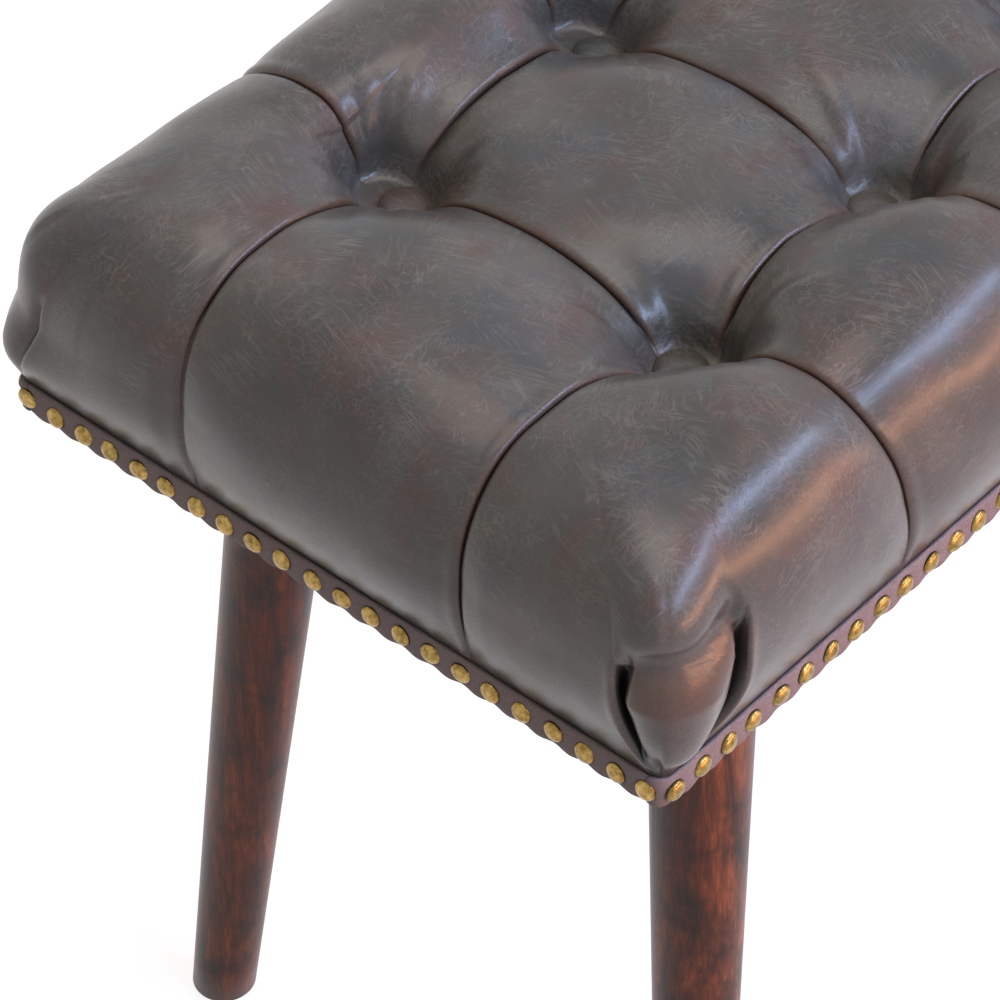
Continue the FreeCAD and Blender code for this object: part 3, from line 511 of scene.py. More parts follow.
def nearest(values, marks):
    """The signed distance to the nearest of several marks."""
    gaps = values[:, None] - np.asarray(marks)[None, :]
    return gaps[np.arange(len(values)), np.abs(gaps).argmin(1)]


to_column, to_row = nearest(line_x, button_x), nearest(line_y, [-row_y, row_y])
arc_column, arc_row = np.abs(to_column) + on_end * down, np.abs(to_row) + on_long * down

# Tufting: the hide sinks to each button, rises along the pleats and swells between them
PANEL_POWER, COLUMN_SPAN, ROW_SPAN = 3.0, 64 * MM, 77 * MM
PLEAT_DEPTH, MIDDLE_PLEAT_DEPTH, PIT_REACH = 8 * MM, 10 * MM, 17 * MM
SWELL_FADE = 0.7
middle_share = np.concatenate([in_middle.reshape(-1), np.zeros(len(points) - in_middle.size)])
deep = crown_level - MIDDLE_DROP * middle_share - rim_level
swell_depth = PLEAT_DEPTH + (MIDDLE_PLEAT_DEPTH - PLEAT_DEPTH) * middle_share
swell_depth = swell_depth * flank_share ** SWELL_FADE
fall_column = np.clip(1 - arc_column / COLUMN_SPAN, 0, 1) ** PANEL_POWER
fall_row = np.clip(1 - arc_row / ROW_SPAN, 0, 1) ** PANEL_POWER
pit_along_column = np.exp(-np.clip(arc_row - BUTTON_RADIUS, 0, None) / PIT_REACH)
pit_along_row = np.exp(-np.clip(arc_column - BUTTON_RADIUS, 0, None) / PIT_REACH)
column_depth = swell_depth + (deep - swell_depth) * pit_along_column
row_depth = swell_depth + (deep - swell_depth) * pit_along_row
sink = column_depth * fall_column + row_depth * fall_row - deep * fall_column * fall_row
# Towards the back edge the hide is tighter: its folds are shallow, its shoulder is lower and its
# corners are pulled in
BACK_TIGHT, BACK_DROP, BACK_IN, CORNER_IN, CORNER_BACK = 0.6, 10 * MM, 8 * MM, 8 * MM, 0.7
TIGHT_FROM, TIGHT_BEYOND_BORDER, TIGHT_BELOW_WIDEST, TIGHT_BEYOND_ROW = 90 * MM, 20 * MM, 30 * MM, 30 * MM
PULLED_FROM, PULLED_WIDTH, PULLED_LOW, PULLED_HIGH = 0.6, 60 * MM, 14 * MM, 50 * MM
risen = points[:, 2] - band_high.z
tight = smooth(TIGHT_FROM, border_y + TIGHT_BEYOND_BORDER, points[:, 1])
tight *= smooth(widest_level - TIGHT_BELOW_WIDEST, crown_level, points[:, 2])
pulled = smooth(HALF_WIDTH * PULLED_FROM, HALF_WIDTH, points[:, 1]) * smooth(PULLED_LOW, PULLED_HIGH, risen)
pulled *= smooth(HALF_LENGTH - PULLED_WIDTH, HALF_LENGTH, np.abs(points[:, 0]))
sink *= 1 - BACK_TIGHT * tight * (arc_row > TIGHT_BEYOND_ROW)

# A knife pleat: a sharp crease, and beside it a rolled lip that overhangs the crease
CREASE_DEPTH, CREASE_WIDTH, CREASE_POWER = 3.4 * MM, 1.6 * MM, 1.2
LIP_HEIGHT, LIP_PLACE, LIP_WIDTH = 1.0 * MM, 2.8 * MM, 2.4 * MM
OVERHANG, OVERHANG_PLACE, OVERHANG_WIDTH = 2.2 * MM, 1.6 * MM, 2.2 * MM
PLEAT_FROM_BUTTON, PLEAT_FULL_BY, FLANK_FADE = 9 * MM, 26 * MM, 0.35
# The pleat down each end behind its middle is faint, from this far down the side on
FAINT_BEHIND, FAINT_FROM, FAINT_BY = 0.55, 20 * MM, 60 * MM


def knife_pleat(distance):
    """How much a pleat rises and shifts sideways at signed distances from its crease."""
    crease = CREASE_DEPTH * np.exp(-(np.abs(distance) / CREASE_WIDTH) ** CREASE_POWER)
    lip = LIP_HEIGHT * np.exp(-((distance - LIP_PLACE) / LIP_WIDTH) ** 2)
    return lip - crease, -OVERHANG * np.exp(-((distance - OVERHANG_PLACE) / OVERHANG_WIDTH) ** 2)


fade = flank_share ** FLANK_FADE * ~hidden
column_pleat = (1 - on_end) * smooth(PLEAT_FROM_BUTTON, PLEAT_FULL_BY, arc_row) * fade
row_pleat = (1 - on_long) * smooth(PLEAT_FROM_BUTTON, PLEAT_FULL_BY, arc_column) * fade
row_pleat *= 1 - FAINT_BEHIND * on_end * (line_y > 0) * smooth(FAINT_FROM, FAINT_BY, down)
(column_rise, column_shift), (row_rise, row_shift) = knife_pleat(to_column), knife_pleat(to_row)
rise = column_rise * column_pleat + row_rise * row_pleat

# The tongue: a shield between two dark openings, whose outer lips stand proud of it. Its upper edge
# is a ridge that slants up towards the long side, with a valley above it. At the back the ridge is
# gone, and the openings in the ends are pulled nearly shut
BACK_CLOSED, BACK_FLAT = 0.7, 0.9
# The openings, and the lips on their outer sides
OPENING_DEPTH, LONG_GAP, END_GAP, CORNER_GAP = 9 * MM, 5 * MM, 3.8 * MM, 0.1 * MM
OUTER_WALL, LIP_PROUD, LIP_BEFORE_EDGE, LIP_SPREAD = 0.8 * MM, 0.6 * MM, 2.6 * MM, 2.2 * MM
# The tongue's face: crowned in its middle, and a little lower along its edges and as a whole
TONGUE_CROWN, CROWN_BY, TONGUE_SUNK, SUNK_BY = 5 * MM, 0.7, 1.2 * MM, 2 * MM
FACE_SUNK, FACE_BY = 2.5 * MM, 5 * MM
# Its ridge, by the height above the band, and the valley above the ridge
RIDGE_LEVEL, RIDGE_SLANT, RIDGE_PROUD, RIDGE_WIDTH, RIDGE_FADE = 64 * MM, 12 * MM, 3 * MM, 6 * MM, 10 * MM
VALLEY_DEPTH, VALLEY_RISEN, VALLEY_WIDTH = 6.5 * MM, 8 * MM, 9 * MM
long_opening = opening_share(points[:, 2], LONG_TOP, LONG_TAPER) * on_long
end_opening = opening_share(points[:, 2], END_TOP, END_TAPER) * on_end
at_back = smooth(0, HALF_WIDTH / 2, points[:, 1])
opening = long_opening + end_opening * (1 - BACK_CLOSED * at_back)
gap_width = LONG_GAP * on_long + END_GAP * on_end + CORNER_GAP
outside = from_edge <= 0
gap = np.exp(-(from_edge / np.where(outside, OUTER_WALL, gap_width)) ** 2)
lip = np.exp(-((from_edge + LIP_BEFORE_EDGE) / LIP_SPREAD) ** 2) * outside
room = 1 - (1 - np.clip(risen / TONGUE_FULL_BY, 0, 1)) ** END_BEND
rise += (LIP_PROUD * lip - OPENING_DEPTH * room * gap) * opening
to_middle = np.concatenate([np.zeros(top_count), np.tile(at_corner[:, 0], ring_count)])
over_ridge = risen - (RIDGE_LEVEL + RIDGE_SLANT * (on_long - on_end) * (1 - to_middle))
face = smooth(0, FACE_BY, from_edge)
on_tongue = face * (1 - smooth(-RIDGE_WIDTH, RIDGE_WIDTH, over_ridge)) * room
ridge = face * np.exp(-((over_ridge + RIDGE_WIDTH) / RIDGE_FADE) ** 2)
valley = face * np.exp(-((over_ridge - VALLEY_RISEN) / VALLEY_WIDTH) ** 2)
rise += (RIDGE_PROUD * ridge - FACE_SUNK * on_tongue - VALLEY_DEPTH * valley) * (1 - at_back)
inner_share = smooth(0, TONGUE_SPAN * CROWN_BY, from_edge)
crown = TONGUE_CROWN * inner_share * opening_share(points[:, 2], END_TOP, LONG_TAPER)
sunk = TONGUE_SUNK * smooth(0, SUNK_BY, from_edge) * (1 - inner_share) * opening
rise += (crown - sunk) * (1 - BACK_FLAT * at_back)

# Wrinkles: fine ones that fan out from each button, a few long soft ones between the pleats, and
# a slow unevenness of the wadding. All are drawn from one seed.
rng = np.random.default_rng(7)
# The fans: waves round a button, and how high, how far out and how wide a ring they fill
FAN_WAVES, FAN_HEIGHT, FAN_PLACE, FAN_WIDTH = (11, 16, 23, 31), 0.4 * MM, 26 * MM, 13 * MM
# The long folds: between the pleats, straying from the middle, and wider farther out
FOLDS_IN_QUARTER, FOLD_STRAY, FOLD_WIDTH, FOLD_WIDENS = 2, 0.5, 2.2 * MM, 0.07
FOLD_LENGTHS, FOLD_HEIGHTS, FOLD_FROM, FOLD_FULL_BY = (40, 85), (0.5, 1.5), 14 * MM, 26 * MM
FOLD_ENDS_FROM = 0.6
# The smooth place where a button sits, and the wadding's slow waves
SEAT_DEEPER, SEAT_INSIDE, SEAT_OUTSIDE = 2 * MM, 1 * MM, 7 * MM
UNEVEN_LENGTHS, UNEVEN_HEIGHT = (46 * MM, 63 * MM, 85 * MM), 0.3 * MM
surface_x = line_x + np.sign(line_x) * on_end * down
surface_y = line_y + np.sign(line_y) * on_long * down
button_spots = [(x, side * row_y) for x in button_x for side in (-1, 1)]
for spot_x, spot_y in button_spots:
    away = np.hypot(surface_x - spot_x, surface_y - spot_y)
    angle = np.arctan2(surface_y - spot_y, surface_x - spot_x)
    fan = np.zeros(len(points))
    for waves in FAN_WAVES:
        fan += rng.uniform(0.5, 1) * np.sin(waves * angle + rng.uniform(0, 2 * math.pi))
    rise += FAN_HEIGHT * fan * np.exp(-((away - FAN_PLACE) / FAN_WIDTH) ** 2)
    for quarter in range(4):
        for _ in range(FOLDS_IN_QUARTER):
            aim = math.pi / 4 + quarter * math.pi / 2 + rng.uniform(-FOLD_STRAY, FOLD_STRAY)
            length, height = rng.uniform(*FOLD_LENGTHS) * MM, rng.uniform(*FOLD_HEIGHTS) * MM
            beside = away * np.sin(angle - aim)
            ahead = away * np.cos(angle - aim)
            wide = FOLD_WIDTH + FOLD_WIDENS * np.clip(ahead, 0, None)
            soft = smooth(FOLD_FROM, FOLD_FULL_BY, ahead)
            soft *= 1 - smooth(length * FOLD_ENDS_FROM, length, ahead)
            rise += height * np.exp(-(beside / wide) ** 2) * soft * fade
    seated = 1 - smooth(BUTTON_RADIUS - SEAT_INSIDE, BUTTON_RADIUS + SEAT_OUTSIDE, away)
    sink = sink + (deep + SEAT_DEEPER - sink) * seated
    rise *= 1 - seated
for length in UNEVEN_LENGTHS:
    aim = rng.uniform(0, math.pi)
    phase = (surface_x * math.cos(aim) + surface_y * math.sin(aim)) / length * 2 * math.pi
    rise += UNEVEN_HEIGHT * np.sin(phase + rng.uniform(0, 2 * math.pi)) * fade


def outward(positions):
    """Outward directions of the grid at each point."""
    a, b, c, d = (positions[faces[:, corner]] for corner in range(4))
    total = np.zeros_like(positions)
    for corner in range(4):
        np.add.at(total, faces[:, corner], np.cross(c - a, d - b))
    return total / np.maximum(np.linalg.norm(total, axis=1, keepdims=True), 1e-12)


points += outward(points) * (rise - sink)[:, None]
points[:, 1] -= BACK_IN * tight + CORNER_IN * pulled * CORNER_BACK
points[:, 0] -= CORNER_IN * pulled * np.sign(points[:, 0])
points[:, 2] -= BACK_DROP * tight
points[:, 0] += column_shift * column_pleat
points[:, 1] += row_shift * row_pleat

# Cowhide, waxed and rubbed: dark grey-brown with drifts of red-brown 30 mm and blue-grey 45 mm
# across, and faint scratches up to 60 mm long that are drawn as wide as they need to show. The lips
# of its pleats and openings are painted lighter brown, partly as rubbed wear and partly as a painted
# highlight, and its tongues carry a painted copper-brown reflection with a painted highlight on their
# ridges. Its creases, openings and tongues are darkened with painted shade. It has a satin gloss
waxed_hide, tree, shader = new_material("waxed_hide")
place = add(tree, "TexCoord")
shading = add(tree, "TexNoise", [("Vector", place, "Object")], Scale=1 / (60 * MM), Detail=4.0)
red = add(tree, "TexNoise", [("Vector", place, "Object")], noise_dimensions="4D", W=3.0,
          Scale=1 / (30 * MM), Detail=7.0, Roughness=0.66)
blue = add(tree, "TexNoise", [("Vector", place, "Object")], noise_dimensions="4D", W=8.0,
           Scale=1 / (45 * MM), Detail=6.0, Roughness=0.6)
base = add(tree, "ValToRGB", [(0, shading, 0)], [(0.32, "#3c3a36"), (0.5, "#4a4743"), (0.68, "#58534d")])
red_share = add(tree, "MapRange", [("Value", red, 0)], From_Min=0.48, From_Max=0.66, To_Max=0.75)
blue_share = add(tree, "MapRange", [("Value", blue, 0)], From_Min=0.5, From_Max=0.68, To_Max=0.6)
reddened = add(tree, "Mix", [("Factor", red_share, 0), ("A", base, 0)], data_type="RGBA", B=linear("#523a36"))
hide_tone = add(tree, "Mix", [("Factor", blue_share, 0), ("A", reddened, "Result")], data_type="RGBA",
                B=linear("#3f464d"))
bent = add(tree, "TexNoise", [("Vector", place, "Object")], Scale=1 / (9 * MM), Detail=2.0)
wiggle = add(tree, "VectorMath", [(0, bent, 1)], operation="SCALE", Scale=1.5 * MM)
wandering = add(tree, "VectorMath", [(0, place, "Object"), (1, wiggle, 0)], operation="ADD")
# Four layers of scratches, each at its own slant and kept only where a cluster of them is
HAIR_LENGTH, HAIR_GAP, HAIR_CLUSTER, CLUSTER_SEED = 60 * MM, 3.4 * MM, 28 * MM, 20
hair_scale = (1 / HAIR_LENGTH, 1 / HAIR_GAP, 1 / HAIR_GAP)
hairs = None
for turn, tilt, seed in ((15, 20, 1.0), (62, -15, 2.0), (108, 30, 4.0), (151, -25, 6.0)):
    slant = (0, math.radians(tilt), math.radians(turn))
    turned = add(tree, "Mapping", [("Vector", wandering, 0)], Rotation=slant)
    drawn = add(tree, "Mapping", [("Vector", turned, 0)], Scale=hair_scale)
    strand = add(tree, "TexNoise", [("Vector", drawn, 0)], noise_dimensions="4D", W=seed, Scale=1.0,
                 Detail=1.0)
    hair = add(tree, "ValToRGB", [(0, strand, 0)], [
        (0.46, "#000000"), (0.492, "#ffffff"), (0.508, "#ffffff"), (0.54, "#000000"),
    ])
    cluster = add(tree, "TexNoise", [("Vector", place, "Object")], noise_dimensions="4D",
                  W=seed + CLUSTER_SEED, Scale=1 / HAIR_CLUSTER, Detail=3.0, Roughness=0.7)
    where = add(tree, "MapRange", [("Value", cluster, 0)], From_Min=0.46, From_Max=0.7)
    kept = add(tree, "Math", [(0, hair, 0), (1, where, 0)], operation="MULTIPLY")
    hairs = kept if hairs is None else add(tree, "Math", [(0, hairs, 0), (1, kept, 0)], operation="MAXIMUM")
hair_share = add(tree, "MapRange", [("Value", hairs, 0)], To_Max=0.22)
scratched = add(tree, "Mix", [("Factor", hair_share, 0), ("A", hide_tone, "Result")], data_type="RGBA",
                B=linear("#a09892"))
# Painted lighter brown on the lips, partly rubbed wear and partly a painted highlight, and a painted
# copper-brown reflection and highlight on the tongues and their ridges
wear_and_highlight = add(tree, "Attribute", attribute_name="wear_and_highlight")
wear_highlight_grain = add(tree, "TexNoise", [("Vector", place, "Object")], Scale=1 / (2 * MM), Detail=4.0)
wear_and_highlight_share = add(tree, "Math", [(0, wear_and_highlight, "Fac"), (1, wear_highlight_grain, 0)], operation="MULTIPLY")
worn_and_highlit = add(tree, "Mix", [("Factor", wear_and_highlight_share, 0), ("A", scratched, "Result")], data_type="RGBA",
           B=linear("#7c5642"))
# Painted shade: nearly black in the creases and in the openings beside the tongues, and darker on the
# tongues' faces
painted_crease_shade = add(tree, "Attribute", attribute_name="painted_crease_shade")
painted_shade_share = add(tree, "MapRange", [("Value", painted_crease_shade, "Fac")], To_Max=0.95)
shaded_tone = add(tree, "Mix", [("Factor", painted_shade_share, 0), ("A", worn_and_highlit, "Result")], data_type="RGBA", B=linear("#090808"))
tree.links.new(shaded_tone.outputs["Result"], shader.inputs["Base Color"])
gloss = add(tree, "MapRange", [("Value", red, 0)], From_Min=0.3, From_Max=0.7, To_Min=0.24, To_Max=0.4)
tree.links.new(gloss.outputs[0], shader.inputs["Roughness"])
grain = add(tree, "TexNoise", [("Vector", place, "Object")], Scale=1 / (1.1 * MM), Detail=3.0, Roughness=0.6)
grain_bump = add(tree, "Bump", [("Height", grain, 0)], Strength=0.14, Distance=0.25 * MM)
scratch_bump = add(tree, "Bump", [("Height", hairs, 0), ("Normal", grain_bump, 0)], Strength=0.22,
                   Distance=0.25 * MM)
tree.links.new(scratch_bump.outputs[0], shader.inputs["Normal"])
shader.inputs["Specular IOR Level"].default_value = 0.35
shader.inputs["Coat Weight"].default_value = 0.15
shader.inputs["Coat Roughness"].default_value = 0.22

hide = mesh_object("buttoned_hide", points, faces, waxed_hide)
# Painted lighter brown: the lips of pleats and openings, partly as rubbed wear and partly as a painted
# highlight, and the tongues and their ridges, as a painted reflection and highlight. Painted shade: in
# the creases and openings, and a little on the tongues
WEAR_HIGHLIGHT_PLACE, WEAR_HIGHLIGHT_WIDTH = LIP_PLACE / 2, LIP_WIDTH * 0.45
LIP_WEAR_AND_HIGHLIGHT, TONGUE_PAINTED_REFLECTION, RIDGE_PAINTED_HIGHLIGHT, DARK_TONGUE = 0.4, 0.4, 0.8, 0.3
DARK_FROM_EDGE, DARK_FULL_BY, DARK_ENDS = -1.6 * MM, -0.6 * MM, (0.5, 1.3)
DARK_ABOVE, OPEN_ABOVE = 6 * MM, 20 * MM
# Lighter brown on the pleats' and openings' lips, partly wear and partly a painted highlight, and a painted
# reflection and highlight on the tongues and their ridges
wear_and_highlight_mask = np.exp(-((to_column - WEAR_HIGHLIGHT_PLACE) / WEAR_HIGHLIGHT_WIDTH) ** 2) * column_pleat
wear_and_highlight_mask += np.exp(-((to_row - WEAR_HIGHLIGHT_PLACE) / WEAR_HIGHLIGHT_WIDTH) ** 2) * row_pleat
wear_and_highlight_mask += LIP_WEAR_AND_HIGHLIGHT * lip * opening + TONGUE_PAINTED_REFLECTION * on_tongue + RIDGE_PAINTED_HIGHLIGHT * ridge
# Painted shade: the openings, the pleats' creases and the tongues' faces are darkened where shade falls
dark = smooth(DARK_FROM_EDGE, DARK_FULL_BY, from_edge)
dark *= 1 - smooth(gap_width * DARK_ENDS[0], gap_width * DARK_ENDS[1], from_edge)
dark *= np.where(risen > OPEN_ABOVE, opening, 1 - on_end * at_back * BACK_CLOSED)
dark *= smooth(0, DARK_ABOVE, risen) * (on_long + on_end)
dark += np.exp(-(to_column / CREASE_WIDTH) ** 2) * column_pleat
dark += np.exp(-(to_row / CREASE_WIDTH) ** 2) * row_pleat
dark += DARK_TONGUE * on_tongue
for name, values in (("wear_and_highlight", wear_and_highlight_mask), ("painted_crease_shade", dark)):
    shares = hide.data.attributes.new(name, "FLOAT", "POINT")
    shares.data.foreach_set("value", np.clip(values, 0, 1))
thick = hide.modifiers.new("hide_thickness", "SOLIDIFY")
thick.thickness, thick.offset = HIDE, -1
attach(hide, "root")
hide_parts("leather_cover")

# Covered buttons: domed steel shells capped with discs of the same hide, tied down through the
# seat until they lie deep in it. Their domes are shown a fifth lower than the solids.

BUTTON_SIDES, BUTTON_SHOWN = 40, 0.8
# The dome's outline: shares of the button's radius and of its height
BUTTON_DOME = [
    (0.8, 0.0), (0.97, 0.08), (1.0, 0.24), (0.98, 0.4), (0.9, 0.6), (0.76, 0.76), (0.56, 0.89),
    (0.32, 0.97), (0.12, 1.0),
]
shown_height = BUTTON_SHOWN * (buttons_high.z - buttons_low.z)
button_points, button_faces = [], []
for x, y in button_spots:
    dome_rings = [((x, y, buttons_low.z + shown_height * up), BUTTON_RADIUS * out) for out, up in BUTTON_DOME]
    dome_points, dome_faces = lathe(dome_rings, BUTTON_SIDES, len(button_points))
    button_points += dome_points
    button_faces += dome_faces
buttons = mesh_object("hide_covered_buttons", button_points, button_faces, waxed_hide)
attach(buttons, "root")
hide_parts("covered_buttons")

# Nail band: strips of soft split leather laid over the hide's raw edge and nailed through. The
# nails pinch them, so they puff out and hang a little lower between two nails.

# Split leather, brushed: mauve-grey with browner clouds of 14 mm and a short nap of 2 mm, quite dull
brushed_split, tree, shader = new_material("brushed_split_leather")
nap = add(tree, "TexNoise", Scale=1 / (2 * MM), Detail=5.0, Roughness=0.7)
cloud = add(tree, "TexNoise", Scale=1 / (14 * MM), Detail=3.0)
tone = add(tree, "ValToRGB", [(0, nap, 0)], [(0.32, "#7c7375"), (0.66, "#a0979a")])
cast = add(tree, "ValToRGB", [(0, cloud, 0)], [(0.4, "#c9aaa2"), (0.6, "#ffffff")])
mixed = add(tree, "Mix", [("A", tone, 0), ("B", cast, 0)], data_type="RGBA", blend_type="MULTIPLY",
            Factor=0.7)
tree.links.new(mixed.outputs["Result"], shader.inputs["Base Color"])
shader.inputs["Roughness"].default_value = 0.75
bump = add(tree, "Bump", [("Height", nap, 0)], Strength=0.3, Distance=0.4 * MM)
tree.links.new(bump.outputs[0], shader.inputs["Normal"])

NAIL_PITCH, NAIL_FROM_CORNER = 16.7 * MM, 8 * MM
CORNER_RADIUS, STRIP_STEP = 8 * MM, 1.6 * MM
STRIP_PUFF, STRIP_DROP, STRIP_LIFT, STRIP_WOBBLE = 0.7 * MM, 0.9 * MM, 0.4, 0.35 * MM
CORNER_STEPS, WOBBLE_SPARE = 7, 4
# The strip's section: shares of its thickness outwards and of its height upwards
STRIP_SECTION = [(0, 0.02), (0.6, 0), (1, 0.06), (1.1, 0.3), (1.1, 0.7), (1, 0.95), (0.6, 1), (0, 0.98)]


def nail_places(half_side):
    """Evenly spaced places along a side, the first and last a set distance from its corners."""
    reach = half_side - NAIL_FROM_CORNER
    spaces = round(2 * reach / NAIL_PITCH)
    return reach * (2 * np.arange(spaces + 1) / spaces - 1)


def strip_line(half_along, half_across, round_ends):
    """Places and outward directions along a side that faces -Y, with its corners if asked."""
    reach = half_along - CORNER_RADIUS
    runs = np.linspace(-reach, reach, round(2 * reach / STRIP_STEP) + 1)
    line = [(run, -half_across, 0.0, -1.0, run) for run in runs]
    if round_ends:
        turns = np.linspace(0, math.pi / 2, CORNER_STEPS + 1)[1:]
        out = [(math.sin(turn), -math.cos(turn), reach + CORNER_RADIUS * turn) for turn in turns]
        centre_y = -half_across + CORNER_RADIUS
        after = [(reach + CORNER_RADIUS * x, centre_y + CORNER_RADIUS * y, x, y, run) for x, y, run in out]
        line = [(-x, y, -out_x, out_y, -run) for x, y, out_x, out_y, run in after[::-1]] + line + after
    return line


for name, turn, half_along, half_across, round_ends in (
    ("front_nail_band", 0, HALF_LENGTH, HALF_WIDTH, True),
    ("right_nail_band", 90, HALF_WIDTH, HALF_LENGTH, False),
    ("back_nail_band", 180, HALF_LENGTH, HALF_WIDTH, True),
    ("left_nail_band", 270, HALF_WIDTH, HALF_LENGTH, False),
):
    nails_along = nail_places(half_along)
    nail_gap = nails_along[1] - nails_along[0]
    wobble = rng.uniform(-STRIP_WOBBLE, STRIP_WOBBLE, len(nails_along) + WOBBLE_SPARE)
    strip_points, section = [], len(STRIP_SECTION)
    line = strip_line(half_along, half_across, round_ends)
    cosine, sine = round(math.cos(math.radians(turn))), round(math.sin(math.radians(turn)))
    for x, y, out_x, out_y, run in line:
        slack = (1 - math.cos(2 * math.pi * (run - nails_along[0]) / nail_gap)) / 2
        number = (run - nails_along[0]) / nail_gap + 1
        loose = float(np.interp(number, np.arange(len(wobble)), wobble))
        for out, up in STRIP_SECTION:
            away = (out - 1) * BAND + STRIP_PUFF * slack * (out > 0.5)
            hang = (STRIP_DROP * (1 - slack) + loose) * (1 if up < 0.5 else -STRIP_LIFT)
            level = band_low.z + (band_high.z - band_low.z) * up + hang * abs(2 * up - 1)
            place_x, place_y = x + out_x * away, y + out_y * away
            turned_x, turned_y = cosine * place_x - sine * place_y, sine * place_x + cosine * place_y
            strip_points.append((turned_x, turned_y, level))
    strip_faces = [
        (low + corner, low + section + corner, low + section + after, low + after)
        for low in range(0, (len(line) - 1) * section, section)
        for corner, after in zip(range(section), [*range(1, section), 0])
    ]
    last = len(strip_points) - section
    strip_faces += [tuple(range(section)), tuple(reversed(range(last, len(strip_points))))]
    strip = mesh_object(f"{name}_strip", strip_points, strip_faces, brushed_split)
    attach(strip, "root")
    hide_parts(name)

# Dome nails: pressed heads, plated and antiqued, hammered in by hand through the band, so that
# no two sit quite alike.

# Brass, plated and antiqued: dull gold with brown patches of 3 mm, rubbed brighter on the domes and
# dark brown round the rims
antique_brass, tree, shader = new_material("antiqued_brass")
place = add(tree, "TexCoord")
tarnish = add(tree, "TexNoise", [("Vector", place, "Object")], Scale=1 / (3 * MM), Detail=4.0, Roughness=0.6)
tone = add(tree, "ValToRGB", [(0, tarnish, 0)], [(0.3, "#6e5730"), (0.5, "#9c8048"), (0.72, "#c4a468")])
rim = add(tree, "Attribute", attribute_name="rim")
browned = add(tree, "Mix", [("Factor", rim, "Fac"), ("A", tone, 0)], data_type="RGBA", B=linear("#4a3413"))
tree.links.new(browned.outputs["Result"], shader.inputs["Base Color"])
shader.inputs["Metallic"].default_value = 1.0
haze = add(tree, "MapRange", [("Value", tarnish, 0)], To_Min=0.2, To_Max=0.38)
tree.links.new(haze.outputs[0], shader.inputs["Roughness"])

NAIL_RADIUS, NAIL_HEIGHT, NAIL_SIDES = 5.3 * MM, 3.1 * MM, 24
NAIL_DRIFT, NAIL_LIFT, NAIL_TILT = 0.8 * MM, 0.6 * MM, 0.12
# The dome's outline: shares of the head's radius and of its height
NAIL_DOME = [
    (0.86, -0.1), (1.0, 0.0), (0.98, 0.2), (0.9, 0.46), (0.76, 0.68), (0.57, 0.85), (0.34, 0.96), (0.12, 1.0),
]
# How brown each ring of that outline is
NAIL_BROWN = [1.0, 1.0, 0.6, 0.15, 0.0, 0.0, 0.0, 0.0]
nail_level = (band_low.z + band_high.z) / 2
nail_spots = [((x, side * HALF_WIDTH), (0, side)) for side in (-1, 1) for x in nail_places(HALF_LENGTH)]
nail_spots += [((side * HALF_LENGTH, y), (side, 0)) for side in (-1, 1) for y in nail_places(HALF_WIDTH)]
nail_points, nail_faces = [], []
for (x, y), (out_x, out_y) in nail_spots:
    head_rings = [((0, 0, NAIL_HEIGHT * up), NAIL_RADIUS * out) for out, up in NAIL_DOME]
    head_points, head_faces = lathe(head_rings, NAIL_SIDES, len(nail_points))
    drift, lift = rng.uniform(-NAIL_DRIFT, NAIL_DRIFT), rng.uniform(-NAIL_LIFT, NAIL_LIFT)
    aim = Vector((out_x, out_y, 0)) + Vector(rng.uniform(-NAIL_TILT, NAIL_TILT, 3))
    turn = aim.to_track_quat("Z", "Y")
    seat = Vector((x - out_y * drift, y + out_x * drift, nail_level + lift))
    nail_points += [seat + turn @ Vector(point) for point in head_points]
    nail_faces += head_faces
nails = mesh_object("dome_headed_nails", nail_points, nail_faces, antique_brass)
shares = nails.data.attributes.new("rim", "FLOAT", "POINT")
shares.data.foreach_set("value", np.tile(np.repeat(NAIL_BROWN, NAIL_SIDES), len(nail_spots)))
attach(nails, "root")
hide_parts("dome_nails")

# Lining: one sheet of black non-woven cloth, cut out round the legs, stretched under the frame
# and stapled. It sags a little in the middle.

# Polypropylene, spun-bonded: near black and dull, with a faint grid of bonding points of 1.4 mm
spun_lining, tree, shader = new_material("spun_bonded_lining")
bonds = add(tree, "TexVoronoi", Scale=1 / (1.4 * MM))
tone = add(tree, "ValToRGB", [(0, bonds, 0)], [(0.1, "#0e0e0f"), (0.5, "#1d1d1f")])
tree.links.new(tone.outputs[0], shader.inputs["Base Color"])
shader.inputs["Roughness"].default_value = 0.9

lining_low, lining_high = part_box("lining_cloth")
LINING_CELL, LINING_SAG, HOLE_SLACK = 4 * MM, 2.5 * MM, 3 * MM
# Grid points nearer a hole's edge than this share of a cell are moved onto it
SNAP_TO_HOLE = 0.72
half_along, half_across = lining_high.x, lining_high.y
leg_holes = []
for name in ("front_left_leg", "front_right_leg", "back_left_leg", "back_right_leg"):
    foot_corner, top_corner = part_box(name)
    foot, _ = level_ring(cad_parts[name].data, foot_corner.z)
    top, top_radius = level_ring(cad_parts[name].data, top_corner.z)
    leg_holes.append((foot.lerp(top, (lining_low.z - foot.z) / (top.z - foot.z)), top_radius + HOLE_SLACK))
cells_x, cells_y = round(2 * half_along / LINING_CELL), round(2 * half_across / LINING_CELL)
cloth_x, cloth_y = np.meshgrid(
    np.linspace(-half_along, half_along, cells_x + 1), np.linspace(-half_across, half_across, cells_y + 1),
    indexing="ij",
)
cut_out = np.zeros((cells_x, cells_y), bool)
middle_x = (cloth_x[:-1, :-1] + cloth_x[1:, 1:]) / 2
middle_y = (cloth_y[:-1, :-1] + cloth_y[1:, 1:]) / 2
